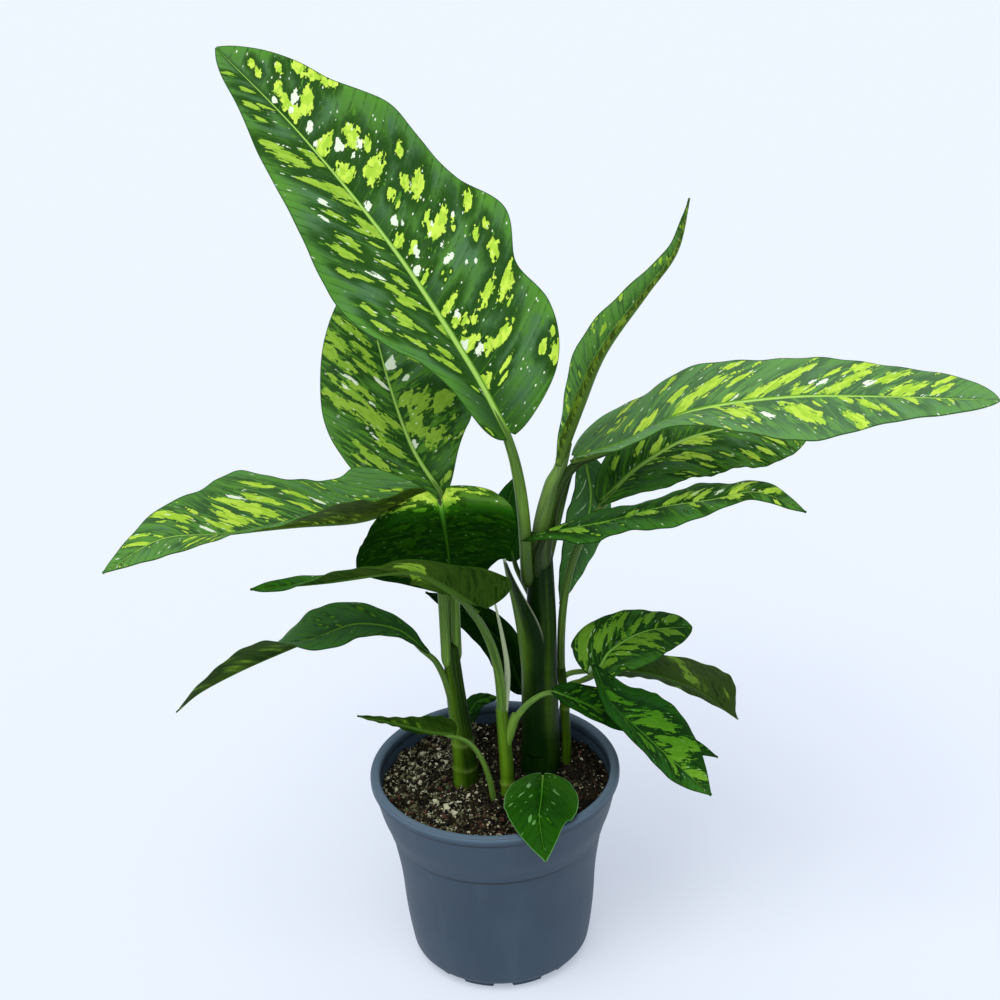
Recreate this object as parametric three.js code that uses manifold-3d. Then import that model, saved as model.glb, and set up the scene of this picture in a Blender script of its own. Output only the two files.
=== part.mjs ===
// A dieffenbachia in a plastic nursery pot, in millimetres.
// +Z is up, -Y is the front, and the origin is the centre of the pot's underside.
// Every leaf is one solid: a waved, folded blade with its leaf stalk. The canes stand in
// plain holes in the soil, and the soil fills the pot.
import * as THREE from 'three';
import { mergeVertices } from 'three/addons/utils/BufferGeometryUtils.js';
import Module from 'manifold-3d';

const wasm = await Module();
wasm.setup();

// Driving dimensions of the pot
const POT_HEIGHT = 145;
const RIM_RADIUS = 85;
const RIM_INNER_RADIUS = 78.5;
const RIM_DEPTH = 6;
const STEP_HEIGHT = 97;
const STEP_DEPTH = 1;
const FOOT_RADIUS = 55;
const FOOT_HEIGHT = 5.4;
const FLOOR_THICKNESS = 2.4;
const FLOOR_RADIUS = 50;
const WALL_THICKNESS = 2;
const POT_SEGMENTS = 40;
const DRAIN_NOTCHES = 10;
const NOTCH_WIDTH = 12;
const NOTCH_HEIGHT = 4;
const NOTCH_DEPTH = 3;

// Driving dimensions of the soil
const SOIL_EDGE_HEIGHT = 131;
const SOIL_MOUND = 4;
const SOIL_GAP = 0.3;
const CANE_DEPTH = 60;

// Driving dimensions of the leaves
const BLADE_HALF_THICKNESS = 0.4;
const NARROWEST_HALF = 0.8;
const KEEL_FADE = 1.2;
const MARGIN_PULL = 1.3;
const LEFT_RIPPLE_SHIFT = 2.2;
const RIDGE_SHARE = 0.035;
const RIB_STATIONS = 120;
const MARGIN_SWEEP = 0.85;
const MARGIN_START = 0.001;
const ROW_CROWDING = 1.5;
const LARGE = { rows: 14, columns: 6 };
const SMALL = { rows: 9, columns: 4 };

// Driving dimensions of the stalks and canes
const STALK_STATIONS = 6;
const STALK_SIDES = 6;
const STALK_SINK = 0.4;
const RUN_ON_LENGTH = 0.06;
const RUN_ON_THICKNESS = 0.6;
const RING_SWELL = 0.6;
const RING_LENGTH = 0.02;

// Gap that touching pieces keep
const CLEARANCE = 0.3;

const v3 = (list) => new THREE.Vector3(...list);

// A smooth value at t, from 0 to 1, through evenly spaced numbers.
function along(values, t) {
  const last = values.length - 1;
  if (last === 0) return values[0];
  const x = THREE.MathUtils.clamp(t, 0, 1) * last;
  const i = Math.min(Math.floor(x), last - 1);
  const f = x - i;
  const b = values[i];
  const c = values[i + 1];
  const a = i > 0 ? values[i - 1] : 2 * b - c;
  const d = i + 2 <= last ? values[i + 2] : 2 * c - b;
  return b + 0.5 * f * (c - a + f * (2 * a - 5 * b + 4 * c - d + f * (3 * (b - c) + d - a)));
}

function alongPoints(points, t) {
  return v3([0, 1, 2].map((axis) => along(points.map((p) => p[axis]), t)));
}

// Closed geometry from vertices and triangles, as a solid for joining and cutting.
function toSolid(geometry) {
  const bare = geometry.clone();
  bare.deleteAttribute('normal');
  bare.deleteAttribute('uv');
  const merged = mergeVertices(bare, 1e-4);
  return new wasm.Manifold(new wasm.Mesh({
    numProp: 3,
    vertProperties: Float32Array.from(merged.attributes.position.array),
    triVerts: Uint32Array.from(merged.index.array),
  }));
}

function toGeometry(solid) {
  const mesh = solid.getMesh();
  const geometry = new THREE.BufferGeometry();
  geometry.setAttribute('position', new THREE.BufferAttribute(mesh.vertProperties, 3));
  geometry.setIndex(new THREE.BufferAttribute(mesh.triVerts, 1));
  geometry.computeVertexNormals();
  return geometry;
}

function fromTriangles(vertices, triangles) {
  const geometry = new THREE.BufferGeometry();
  const numbers = vertices.flatMap((p) => p.toArray());
  geometry.setAttribute('position', new THREE.Float32BufferAttribute(numbers, 3));
  geometry.setIndex(triangles.flat());
  return geometry;
}

// The largest body of a solid, without the scraps that a cut leaves.
function mainBody(solid) {
  const bodies = solid.decompose();
  return bodies.reduce((best, body) => (body.volume() > best.volume() ? body : best));
}

// A closed tube through centre points, with one radius for each point.
function tube(centres, radii, sides) {
  const last = centres.length - 1;
  const tangents = centres.map((_, i) => centres[Math.min(i + 1, last)].clone()
    .sub(centres[Math.max(i - 1, 0)]).normalize());
  let across = new THREE.Vector3(0, 1, 0).cross(tangents[0]);
  if (across.length() < 0.2) across = new THREE.Vector3(1, 0, 0).cross(tangents[0]);
  const vertices = [];
  centres.forEach((centre, i) => {
    across.addScaledVector(tangents[i], -across.dot(tangents[i])).normalize();
    const other = tangents[i].clone().cross(across);
    for (let k = 0; k < sides; k += 1) {
      const angle = (2 * Math.PI * k) / sides;
      vertices.push(centre.clone().addScaledVector(across, radii[i] * Math.cos(angle))
        .addScaledVector(other, radii[i] * Math.sin(angle)));
    }
  });
  const foot = vertices.push(centres[0].clone()) - 1;
  const tip = vertices.push(centres[last].clone()) - 1;
  const triangles = [];
  for (let k = 0; k < sides; k += 1) {
    const next = (k + 1) % sides;
    triangles.push([foot, next, k], [tip, last * sides + k, last * sides + next]);
    for (let i = 0; i < last; i += 1) {
      const low = i * sides;
      const high = low + sides;
      triangles.push([low + k, low + next, high + next], [low + k, high + next, high + k]);
    }
  }
  return toSolid(fromTriangles(vertices, triangles));
}

// A cane through its points, thicker by grow, with a raised ring at each node.
function caneTube(cane, grow = 0) {
  const stations = cane.stations;
  const centres = [];
  const radii = [];
  for (let i = 0; i <= stations; i += 1) {
    const t = i / stations;
    const rings = (cane.rings ?? []).reduce((sum, at) => sum + Math.exp(-(((t - at) / RING_LENGTH) ** 2)), 0);
    centres.push(alongPoints(cane.points, t));
    radii.push(along(cane.radii, t) + RING_SWELL * rings + grow);
  }
  if (grow > 0) {
    centres[0].z -= grow;
    centres[stations].z += grow;
  }
  return tube(centres, radii, cane.sides);
}

function caneSolid(cane, grow = 0) {
  const sheaths = cane.sheaths ?? [];
  return sheaths.reduce((solid, sheath) => solid.add(caneTube(sheath, grow)), caneTube(cane, grow));
}

// The rib of a leaf: its places by distance from the joint, with the directions
// forward along the rib, out of the upper side, and to the right.
function ribOf(leaf) {
  const raw = [];
  for (let i = 0; i <= RIB_STATIONS; i += 1) raw.push(alongPoints(leaf.rib, i / RIB_STATIONS));
  const reach = [0];
  for (let i = 1; i <= RIB_STATIONS; i += 1) reach.push(reach[i - 1] + raw[i].distanceTo(raw[i - 1]));
  const length = reach[RIB_STATIONS];
  const place = (distance) => {
    if (distance <= 0) {
      return raw[0].clone().addScaledVector(raw[1].clone().sub(raw[0]).normalize(), distance);
    }
    let i = reach.findIndex((r) => r >= distance);
    if (i < 1) i = RIB_STATIONS;
    const f = (distance - reach[i - 1]) / (reach[i] - reach[i - 1]);
    return raw[i - 1].clone().lerp(raw[i], Math.min(f, 1));
  };
  const frame = (distance) => {
    const y = THREE.MathUtils.clamp(distance, 0, length);
    const half = length / RIB_STATIONS;
    const forward = place(Math.min(y + half, length)).sub(place(Math.max(y - half, 0))).normalize();
    const face = alongPoints(leaf.face, y / length);
    const up = face.addScaledVector(forward, -face.dot(forward)).normalize();
    return { centre: place(distance), forward, up, right: forward.clone().cross(up) };
  };
  return { length, frame };
}

// The blade's middle surface at t along the rib and s across it, from -1 to 1.
// Its outline rises as a power of u and falls as another, its halves are raised or
// lowered by an angle that changes along the leaf, and its margin ripples.
function bladePoint(leaf, rib, t, s) {
  const [rise, fall] = leaf.outline ?? [0.55, 0.95];
  const lobe = leaf.lobe ?? 0.05;
  const keel = THREE.MathUtils.degToRad(leaf.keel ?? 15);
  const [ripple, waves] = leaf.ripple;
  const isRight = s > 0;
  const q = Math.abs(s);
  const u = MARGIN_START + (1 - MARGIN_START) * t ** MARGIN_SWEEP;
  const widest = rise / (rise + fall);
  const outline = (u / widest) ** rise * ((1 - u) / (1 - widest)) ** fall;
  const wide = along((isRight ? leaf.wideRight : leaf.wideLeft) ?? [1], u);
  const width = Math.max(leaf.half * outline * wide, NARROWEST_HALF);
  const angle = THREE.MathUtils.degToRad(along(isRight ? leaf.right : leaf.left, u))
    + keel * (1 - KEEL_FADE * q);
  const turn = 2 * Math.PI * waves * u + (isRight ? 0 : LEFT_RIPPLE_SHIFT);
  const wave = ripple * q * q * Math.sin(turn) * Math.sqrt(Math.max(Math.sin(Math.PI * u), 0));
  const marginAt = rib.length * (-lobe + (1 + lobe) * u);
  const distance = rib.length * t + (marginAt - rib.length * t) * q ** MARGIN_PULL;
  const { centre, up, right } = rib.frame(distance);
  return centre.addScaledVector(right, Math.sign(s) * width * q * Math.cos(angle))
    .addScaledVector(up, width * q * Math.sin(angle) + wave);
}

// The blade as a closed solid: upper and lower faces split into triangles alike,
// a ridge under the rib, and a narrow wall round the margin. Its rows lie closer
// together near the base, where the lobes are round.
function bladeSolid(leaf, rib) {
  const { rows, columns } = leaf.size;
  const middle = [];
  for (let i = 0; i <= rows; i += 1) {
    const row = [];
    const t = (i / rows) ** ROW_CROWDING;
    for (let j = 0; j <= columns; j += 1) row.push(bladePoint(leaf, rib, t, (2 * j) / columns - 1));
    middle.push(row);
  }
  const at = (i, j) => middle[THREE.MathUtils.clamp(i, 0, rows)][THREE.MathUtils.clamp(j, 0, columns)];
  const vertices = [];
  const perSide = (rows + 1) * (columns + 1);
  [1, -1].forEach((side) => {
    for (let i = 0; i <= rows; i += 1) {
      for (let j = 0; j <= columns; j += 1) {
        const across = at(i, j + 1).clone().sub(at(i, j - 1));
        const forward = at(i + 1, j).clone().sub(at(i - 1, j));
        const normal = across.cross(forward).normalize();
        const ridge = side < 0 && 2 * j === columns ? leaf.half * RIDGE_SHARE * (1 - i / rows) : 0;
        vertices.push(at(i, j).clone().addScaledVector(normal, side * (BLADE_HALF_THICKNESS + ridge)));
      }
    }
  });
  const top = (i, j) => i * (columns + 1) + j;
  const low = (i, j) => perSide + top(i, j);
  const triangles = [];
  const quad = (a, b, c, d) => triangles.push([a, b, c], [a, c, d]);
  for (let i = 0; i < rows; i += 1) {
    for (let j = 0; j < columns; j += 1) {
      quad(top(i, j), top(i, j + 1), top(i + 1, j + 1), top(i + 1, j));
      triangles.push([low(i, j), low(i + 1, j + 1), low(i, j + 1)]);
      triangles.push([low(i, j), low(i + 1, j), low(i + 1, j + 1)]);
    }
    quad(top(i, columns), low(i, columns), low(i + 1, columns), top(i + 1, columns));
    quad(low(i, 0), top(i, 0), top(i + 1, 0), low(i + 1, 0));
  }
  for (let j = 0; j < columns; j += 1) {
    quad(top(0, j), low(0, j), low(0, j + 1), top(0, j + 1));
    quad(low(rows, j), top(rows, j), top(rows, j + 1), low(rows, j + 1));
  }
  return toSolid(fromTriangles(vertices, triangles));
}

// The leaf stalk: one curve from its foot to the joint, run on a little under the rib.
function stalkSolid(leaf, rib, grow = 0) {
  const { foot, start = [0, 0, 1], bend = 0.7, radii } = leaf.stalk;
  const { centre, forward, up } = rib.frame(0);
  const begin = v3(start).normalize();
  const end = forward.clone().multiplyScalar(bend).addScaledVector(begin, 1 - bend).normalize();
  const pull = v3(foot).distanceTo(centre) / 3;
  const curve = new THREE.CubicBezierCurve3(v3(foot), v3(foot).addScaledVector(begin, pull),
    centre.clone().addScaledVector(end, -pull), centre);
  const centres = [];
  const thickness = [];
  for (let i = 0; i <= STALK_STATIONS; i += 1) {
    centres.push(curve.getPoint(i / STALK_STATIONS));
    thickness.push(along(radii, i / STALK_STATIONS) + grow);
  }
  const runOn = rib.frame(rib.length * RUN_ON_LENGTH);
  centres.push(runOn.centre.addScaledVector(runOn.up, -radii.at(-1) * RUN_ON_THICKNESS));
  thickness.push(radii.at(-1) * RUN_ON_THICKNESS + grow);
  centres[STALK_STATIONS].addScaledVector(up, -radii.at(-1) * STALK_SINK);
  return tube(centres, thickness, STALK_SIDES);
}

// The pot's outer wall from the foot to the rim, as radius and height.
const WALL_OUTLINE = [
  [FOOT_RADIUS + 4, FOOT_HEIGHT + 0.4], [61.2, FOOT_HEIGHT + 2.6],
  [62, 12], [63.6, 22], [65.8, 42], [66.8, 62], [68, 76], [71, 90],
  [71.8, STEP_HEIGHT], [71.8 + STEP_DEPTH, STEP_HEIGHT + 1], [74.5, 103], [78.6, 117],
  [83.5, POT_HEIGHT - RIM_DEPTH - 0.4],
];

function radiusAt(wall, height) {
  const upper = Math.max(wall.findIndex(([, z]) => z >= height), 1);
  const [r0, z0] = wall[upper - 1];
  const [r1, z1] = wall[upper];
  return r0 + ((r1 - r0) * (height - z0)) / (z1 - z0);
}

// The pot's inner wall, from the floor past the ledge over the foot ring and up to the rim,
// a wall's thickness inside the outer one.
const INNER_WALL = [
  [FLOOR_RADIUS, FLOOR_THICKNESS], [FLOOR_RADIUS + 2, FOOT_HEIGHT + WALL_THICKNESS],
  ...[12, 42, 76, 97, 117].map((z) => [radiusAt(WALL_OUTLINE, z) - WALL_THICKNESS, z]),
  [RIM_INNER_RADIUS, POT_HEIGHT - 1],
];

function potSolid() {
  const top = POT_HEIGHT;
  const rim = [
    [RIM_RADIUS - 0.6, top - RIM_DEPTH], [RIM_RADIUS, top - RIM_DEPTH + 0.8], [RIM_RADIUS, top - 1.2],
    [RIM_RADIUS - 1, top], [RIM_INNER_RADIUS + 1, top],
  ];
  const foot = [[0, 0], [FOOT_RADIUS - 1, 0], [FOOT_RADIUS - 0.2, 0.8], [FOOT_RADIUS, FOOT_HEIGHT]];
  const profile = [...foot, ...WALL_OUTLINE, ...rim, ...INNER_WALL.toReversed(), [0, FLOOR_THICKNESS]];
  const lathe = new THREE.LatheGeometry(profile.map(([r, z]) => new THREE.Vector2(r, z)), POT_SEGMENTS);
  lathe.rotateX(Math.PI / 2);
  let pot = toSolid(lathe);
  for (let k = 0; k < DRAIN_NOTCHES; k += 1) {
    const notch = new THREE.BoxGeometry(NOTCH_WIDTH, 2 * NOTCH_DEPTH, 2 * NOTCH_HEIGHT);
    notch.translate(0, -FOOT_RADIUS, 0);
    notch.rotateZ((2 * Math.PI * k) / DRAIN_NOTCHES);
    pot = pot.subtract(toSolid(notch));
  }
  return pot;
}

// Height of the soil's lumpy, slightly mounded top.
function soilHeight(x, y) {
  const mound = SOIL_MOUND * (1 - (x * x + y * y) / RIM_INNER_RADIUS ** 2);
  const lumps = 0.9 * Math.sin(x / 6.3 + 1.2) * Math.sin(y / 7.1)
    + 0.7 * Math.sin((x + y) / 4.7) * Math.cos((x - y) / 8.3);
  return SOIL_EDGE_HEIGHT + mound + lumps;
}

function soilSolid(planted) {
  const rings = [0, 12, 24, 36, 48, 60, 70, radiusAt(INNER_WALL, SOIL_EDGE_HEIGHT) - SOIL_GAP];
  const floor = FLOOR_THICKNESS + SOIL_GAP;
  const wall = INNER_WALL.filter(([, z]) => z > floor && z < SOIL_EDGE_HEIGHT)
    .map(([r, z]) => [r - SOIL_GAP, z + SOIL_GAP]);
  const profile = [[0, floor], [FLOOR_RADIUS - SOIL_GAP, floor], ...wall,
    ...rings.toReversed().map((r) => [r, SOIL_EDGE_HEIGHT])];
  const lathe = new THREE.LatheGeometry(profile.map(([r, z]) => new THREE.Vector2(r, z)), POT_SEGMENTS);
  lathe.rotateX(Math.PI / 2);
  const position = lathe.attributes.position;
  for (let i = 0; i < position.count; i += 1) {
    if (position.getZ(i) > SOIL_EDGE_HEIGHT - 1) {
      position.setZ(i, soilHeight(position.getX(i), position.getY(i)));
    }
  }
  return planted.reduce((soil, plant) => soil.subtract(plant), toSolid(lathe));
}

// Canes, each with its points, its radii at evenly spaced places, and the sheaths of
// old leaf stalks that are grown onto it.
const soilLine = SOIL_EDGE_HEIGHT - CANE_DEPTH;
const CANES = {
  cane_left: {
    points: [[-20, 0, soilLine], [-20, 0, 128], [-21, 0, 165], [-24, 0, 205], [-26, 0, 243]],
    radii: [9.5, 9.3, 7.8, 6.3, 5],
    rings: [0.37, 0.51, 0.76],
    stations: 22,
    sides: 9,
  },
  cane_middle: {
    points: [[8, -19, soilLine], [8, -19, 115], [8, -18, 160], [6, -15, 203]],
    radii: [5, 5, 4.7, 3.8],
    stations: 10,
    sides: 8,
    sheaths: [
      { points: [[8, -18, 172], [12, -17, 186], [16, -17, 197]], radii: [3, 3.6, 3], stations: 4, sides: 7 },
      { points: [[7, -16, 190], [11, -14, 225], [9, -14, 252], [4, -14, 284]], radii: [2.5, 1.9, 1.4, 0.5],
        stations: 8, sides: 6 },
    ],
  },
  cane_main: {
    points: [[31, 12, soilLine], [31, 12, 118], [32, 14, 160], [33.5, 16.5, 210], [35, 18, 254],
      [36, 18, 303]],
    radii: [13, 13.5, 13, 11.4, 9.8, 7.5],
    stations: 12,
    sides: 12,
    sheaths: [
      { points: [[25, 13, 182], [24, 12, 231], [21, 11, 262], [17, 9, 286], [14, 7, 306]],
        radii: [4, 5, 4.6, 3.4, 1.2], stations: 9, sides: 8 },
    ],
  },
  shoot_right: {
    points: [[49, 22, soilLine], [49, 22, 123], [50, 23, 150], [49, 25, 180], [47.5, 26.5, 208]],
    radii: [3.4, 3.4, 3.4, 3.2, 2.9],
    stations: 10,
    sides: 8,
  },
};

// Leaves. rib: points along the midrib from joint to tip; face: where the upper side looks,
// from joint to tip; half: greatest half width; wideLeft and wideRight: how much wider or
// narrower each half is, from base to tip; left and right: degrees that each half is raised.
const LEAVES = {
  leaf_top: {
    size: { rows: 17, columns: 6 },
    rib: [[16, 0, 395], [-6, 8, 440], [-49, 28, 509], [-101, 50, 575], [-152, 72, 627]],
    face: [[0, -0.75, 0.65], [0.25, -0.8, 0.5]],
    half: 56,
    lobe: 0.015,
    outline: [0.5, 0.75],
    wideLeft: [0.62, 0.52, 0.55, 0.75, 0.9, 0.9, 0.85, 0.8, 0.78, 0.72, 0.9],
    wideRight: [1, 1.3, 1.3, 1.1, 1.33, 1.15, 1.17, 1.26, 1.13, 1.25, 1.25],
    left: [35, 35, 15, 8, 10, 8, 5],
    right: [15, 5, -5, 0, 0],
    keel: 12,
    ripple: [3, 3.2],
    stalk: { foot: [26.5, 12, 285], start: [-0.02, -0.1, 1], bend: 0.6, radii: [4.4, 4.2, 3.8, 3] },
    on: 'cane_main',
  },
  leaf_behind: {
    size: LARGE,
    rib: [[-29.5, 35, 339.5], [-46, 60, 358], [-59, 90, 385.5], [-70, 125, 418], [-78, 150, 451.5]],
    face: [[0.1, -0.8, 0.6]],
    half: 55,
    lobe: 0.04,
    outline: [0.5, 0.85],
    wideLeft: [0.8, 0.82, 0.9, 0.92, 1, 1.1],
    wideRight: [0.35, 0.7, 0.9, 0.95, 1, 1, 1],
    left: [20, 10, 5, 5, 5],
    right: [20, 10, 5, 5, 5],
    ripple: [2, 2.5],
    stalk: { foot: [-22, 2, 236], bend: 0.5, radii: [3.4, 3.2, 3, 2.6] },
    on: 'cane_left',
  },
  leaf_left_long: {
    size: { rows: 17, columns: 6 },
    rib: [[-44, 8, 346], [-77, -5, 340], [-119, -18, 344], [-165, -28, 345], [-202, -36, 347],
      [-239, -44, 329]],
    face: [[0, 0.1, 1], [0, -0.15, 1], [0, -0.4, 0.9]],
    half: 41,
    wideLeft: [0.6, 0.9, 1, 1, 1, 1, 1, 1],
    wideRight: [0.85, 1.15, 0.85, 0.8, 1.3, 1, 0.9, 1.2],
    left: [60, 48, 44, 42, 36, 28, 15, 10],
    right: [30, 35, 30, 25, 20, 10],
    keel: 8,
    ripple: [3, 3],
    stalk: { foot: [-27, 6, 238], bend: 0.5, radii: [3, 2.8, 2.6, 2.3] },
    on: 'cane_left',
  },
  leaf_front_dark: {
    size: LARGE,
    rib: [[-27.5, -12, 354.5], [-25, -30, 345], [-23, -44, 336], [-22, -52, 326.5], [-19.5, -52, 307.5]],
    face: [[0, -0.75, 0.6], [0, -0.9, 0.4], [0, -1, 0.1]],
    half: 50,
    lobe: 0.16,
    outline: [0.4, 0.6],
    wideLeft: [1.05, 1, 0.95, 0.93, 0.9, 0.88, 0.8, 0.6],
    wideRight: [1.15, 1.1, 1.08, 1.12, 1.22, 1.3, 1.35, 1.25, 0.8],
    left: [-5, -10, -10, -10],
    right: [-14, -8, -8, -14],
    ripple: [2, 3],
    stalk: { foot: [-29, -4, 236], bend: 0.4, radii: [3.4, 3.2, 2.8, 2.4] },
    on: 'cane_left',
  },
  leaf_arching_left: {
    size: { rows: 12, columns: 4 },
    rib: [[-13, -60, 308.5], [-28.5, -68, 325.5], [-43, -72, 336.5], [-61.5, -68, 334.5], [-99, -60, 325.5],
      [-146.5, -56, 320]],
    face: [[0.3, 0.7, 0.6], [0.2, 0.7, 0.7], [0, 0.5, 0.85], [0, 0.5, 0.85], [0, 0.2, 1], [0, -0.3, 1]],
    half: 30,
    lobe: 0.1,
    wideLeft: [2.15, 1.65, 0.8, 0.55, 0.8, 1, 1],
    wideRight: [0.1, 0.25, 0.6, 0.8, 1, 1],
    left: [20, 15, 12, 18, 15, 5],
    right: [-30, -20, -5, 10, 10, 10],
    ripple: [1, 2],
    stalk: { foot: [6.5, -15.5, 196], bend: 0.6, radii: [3.4, 3.2, 2.8, 2.2] },
    on: 'cane_middle',
  },
  leaf_low_left: {
    size: { rows: 16, columns: 4 },
    rib: [[-42, -8, 243], [-59, -14, 263], [-84, -20, 272], [-105, -26, 269], [-130, -30, 261],
      [-161, -36, 250], [-188, -40, 237], [-204, -42, 224]],
    face: [[-0.2, -0.2, 1], [0, -0.4, 0.9], [0, -0.2, 1], [0, 0.5, 0.85], [0, 0.6, 0.8], [0, 0.1, 1]],
    half: 28,
    lobe: 0.03,
    wideLeft: [0.2, 0.25, 0.45, 0.7, 0.9, 1, 1, 1],
    wideRight: [0.3, 0.35, 0.6, 0.75, 0.9, 1, 1, 1],
    left: [10, 10, 10, 20, 26, 26, 10],
    right: [10, 10, 10, 20, 26, 20, 10],
    ripple: [1.5, 3],
    stalk: { foot: [-25, -2, 184], start: [-0.12, -0.05, 1], bend: 0.9, radii: [2.8, 2.6, 2.2, 1.8] },
    on: 'cane_left',
  },
  leaf_rim_left: {
    size: SMALL,
    rib: [[-27, -24, 187], [-43, -28, 193], [-64, -32, 203], [-88, -36, 212]],
    face: [[0, 0.85, 0.5]],
    half: 14,
    lobe: 0.03,
    wideLeft: [1.6, 1.3, 0.7, 0.5, 0.5],
    wideRight: [0.3, 0.4, 0.5, 0.5, 0.5],
    left: [15],
    right: [10],
    ripple: [0.5, 2],
    stalk: { foot: [0, -22, 108], start: [-0.05, 0, 1], bend: 0.9, radii: [2.2, 2.1, 1.8, 1.4] },
    on: 'soil',
  },
  leaf_rim_front: {
    size: SMALL,
    rib: [[32, -26, 153], [30, -55, 155], [28, -80, 156], [31, -97, 135]],
    face: [[0, -0.2, 1], [0, -1, 0.5]],
    half: 25,
    left: [0, -10, -10],
    right: [0, -10, -10],
    ripple: [0.7, 2],
    stalk: { foot: [24, -14, 112], start: [0.1, -0.1, 1], bend: 0.6, radii: [2.4, 2.3, 2, 1.6] },
    on: 'soil',
  },
  leaf_low_right_back: {
    size: SMALL,
    rib: [[43, -10, 208], [72, -8, 192], [106, -5, 174], [152, 0, 145]],
    face: [[0, -0.5, 1], [0, -0.3, 1]],
    half: 16,
    lobe: 0.03,
    left: [10],
    right: [25, 25, 15],
    ripple: [1, 2],
    stalk: { foot: [14, -17, 190], start: [0.4, 0, 1], bend: 0.8, radii: [2.4, 2.2, 1.9, 1.6] },
    on: 'cane_middle',
  },
  leaf_low_right_front: {
    size: { rows: 14, columns: 4 },
    rib: [[70, 0, 217], [79, -16, 201], [99, -34, 188], [142, -52, 150]],
    face: [[0.3, -0.5, 1], [0.2, -0.7, 0.7]],
    half: 32,
    wideLeft: [0.3, 0.65, 0.95, 0.95, 1.1, 1.2, 1.2, 1],
    wideRight: [0.7, 0.72, 0.78, 0.7],
    left: [-10, 0, 0, 0],
    right: [55, 55, 50, 45, 35, 20, 10],
    ripple: [1.5, 2],
    stalk: { foot: [49, 25, 176], bend: 0.4, radii: [2, 1.9, 1.7, 1.5] },
    on: 'shoot_right',
  },
  leaf_right_small: {
    size: { rows: 12, columns: 4 },
    rib: [[72.5, 11, 212.5], [82.5, 19, 222.5], [106.5, 31, 228.5], [138, 41, 224.5]],
    face: [[0.1, -0.6, 0.8], [0.1, -0.4, 1]],
    half: 26,
    lobe: 0.1,
    outline: [0.45, 0.6],
    wideLeft: [1.4, 1.2, 0.95, 0.8, 0.75, 0.7, 0.8, 1],
    wideRight: [0.6, 0.75, 0.85, 0.9, 0.95, 0.9, 0.85, 0.8],
    left: [20, 10, 5, 0],
    right: [15, 10, 5, 0],
    ripple: [1, 2],
    stalk: { foot: [49, 24, 186], bend: 0.5, radii: [2, 1.9, 1.7, 1.5] },
    on: 'shoot_right',
  },
  leaf_right_olive: {
    size: { rows: 12, columns: 4 },
    rib: [[86.5, 40, 195.5], [111.5, 46, 185.5], [143.5, 54, 166.5], [172.5, 56, 139]],
    face: [[0.2, 0.8, 0.6], [0.6, 0.6, 0.4]],
    half: 31,
    wideLeft: [1.1],
    wideRight: [1.1, 1.5, 1.8, 1.8, 1.5, 1],
    left: [10],
    right: [0],
    keel: 6,
    ripple: [1, 2],
    stalk: { foot: [48.5, 25.5, 194], bend: 0.6, radii: [2, 1.9, 1.7, 1.5] },
    on: 'shoot_right',
  },
  leaf_right_long: {
    size: { rows: 17, columns: 6 },
    rib: [[61, 0, 375], [90, -8, 388], [130, -18, 412], [185, -26, 423], [244, -30, 423], [317, -34, 419]],
    face: [[0, -0.2, 1], [0, -0.35, 1], [0, -0.45, 1]],
    half: 40,
    lobe: 0.02,
    outline: [0.5, 0.6],
    wideLeft: [1.7, 1.3, 0.85, 0.82, 0.78, 0.72, 0.72, 0.8, 0.85, 0.9],
    wideRight: [0.8, 0.8, 0.8, 0.88, 0.9, 0.75, 0.6, 0.55],
    left: [10, 15, 20, 15, 10, 10],
    right: [35, 30, 34, 12, 0, 0, 5, 8],
    ripple: [2, 3],
    stalk: { foot: [38, 15, 290], start: [0.1, -0.1, 1], bend: 0.5, radii: [4, 3.6, 3.3, 3] },
    on: 'cane_main',
  },
  leaf_right_second: {
    size: LARGE,
    rib: [[80, 14, 340], [102, 28, 354], [136, 45, 365], [178, 62, 364], [223, 78, 353]],
    face: [[0, -0.4, 1], [0, -0.5, 1]],
    half: 40,
    wideLeft: [0.6, 0.7],
    wideRight: [0.3, 0.5, 0.7, 0.75, 0.85, 1, 1.3, 1.6, 1.6],
    left: [20, 10, 10, 10],
    right: [10, 5, -5, 0, 5],
    ripple: [2, 4],
    stalk: { foot: [47.7, 26.3, 200], bend: 0.8, radii: [2.7, 2.7, 2.6, 2.4] },
    on: 'shoot_right',
  },
  leaf_right_narrow: {
    size: { rows: 16, columns: 4 },
    rib: [[41, 2, 322], [80, -14, 337], [110, -28, 352], [140, -42, 363], [168, -52, 372], [197, -60, 361]],
    face: [[0, -0.2, 1], [0, -0.3, 1]],
    half: 25,
    lobe: 0.01,
    wideLeft: [0.6, 0.6, 0.75, 0.65, 0.8, 1, 0.8, 1.1, 1.2],
    wideRight: [0.7, 0.6, 1, 0.95, 1.05, 0.8, 0.65, 1.1],
    left: [-8, -8, -8, -5, 5, 5],
    right: [5, 10, 10, 5, 0, 10],
    ripple: [1.5, 3],
    stalk: { foot: [33, 11, 290], start: [0, -0.3, 1], bend: 0.5, radii: [3, 2.8, 2.5, 2.2] },
    on: 'cane_main',
  },
  leaf_spear: {
    size: { rows: 14, columns: 4 },
    rib: [[47, 4, 368], [63, 2, 411], [78, 0, 447], [103, -2, 484], [122, -4, 512], [130, -6, 546]],
    face: [[-0.9, -0.35, 0.3]],
    half: 20,
    lobe: 0,
    wideLeft: [0.3, 0.5, 0.75, 0.8, 0.72, 0.6, 0.5],
    wideRight: [0.7, 1, 1, 1, 1, 0.8],
    left: [60],
    right: [48, 48, 45],
    ripple: [0.6, 2],
    stalk: { foot: [35, 14, 296], start: [0, 0, 1], bend: 0.6, radii: [6, 6, 5.5, 4] },
    on: 'cane_main',
  },
  leaf_back_hanging: {
    size: SMALL,
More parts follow.
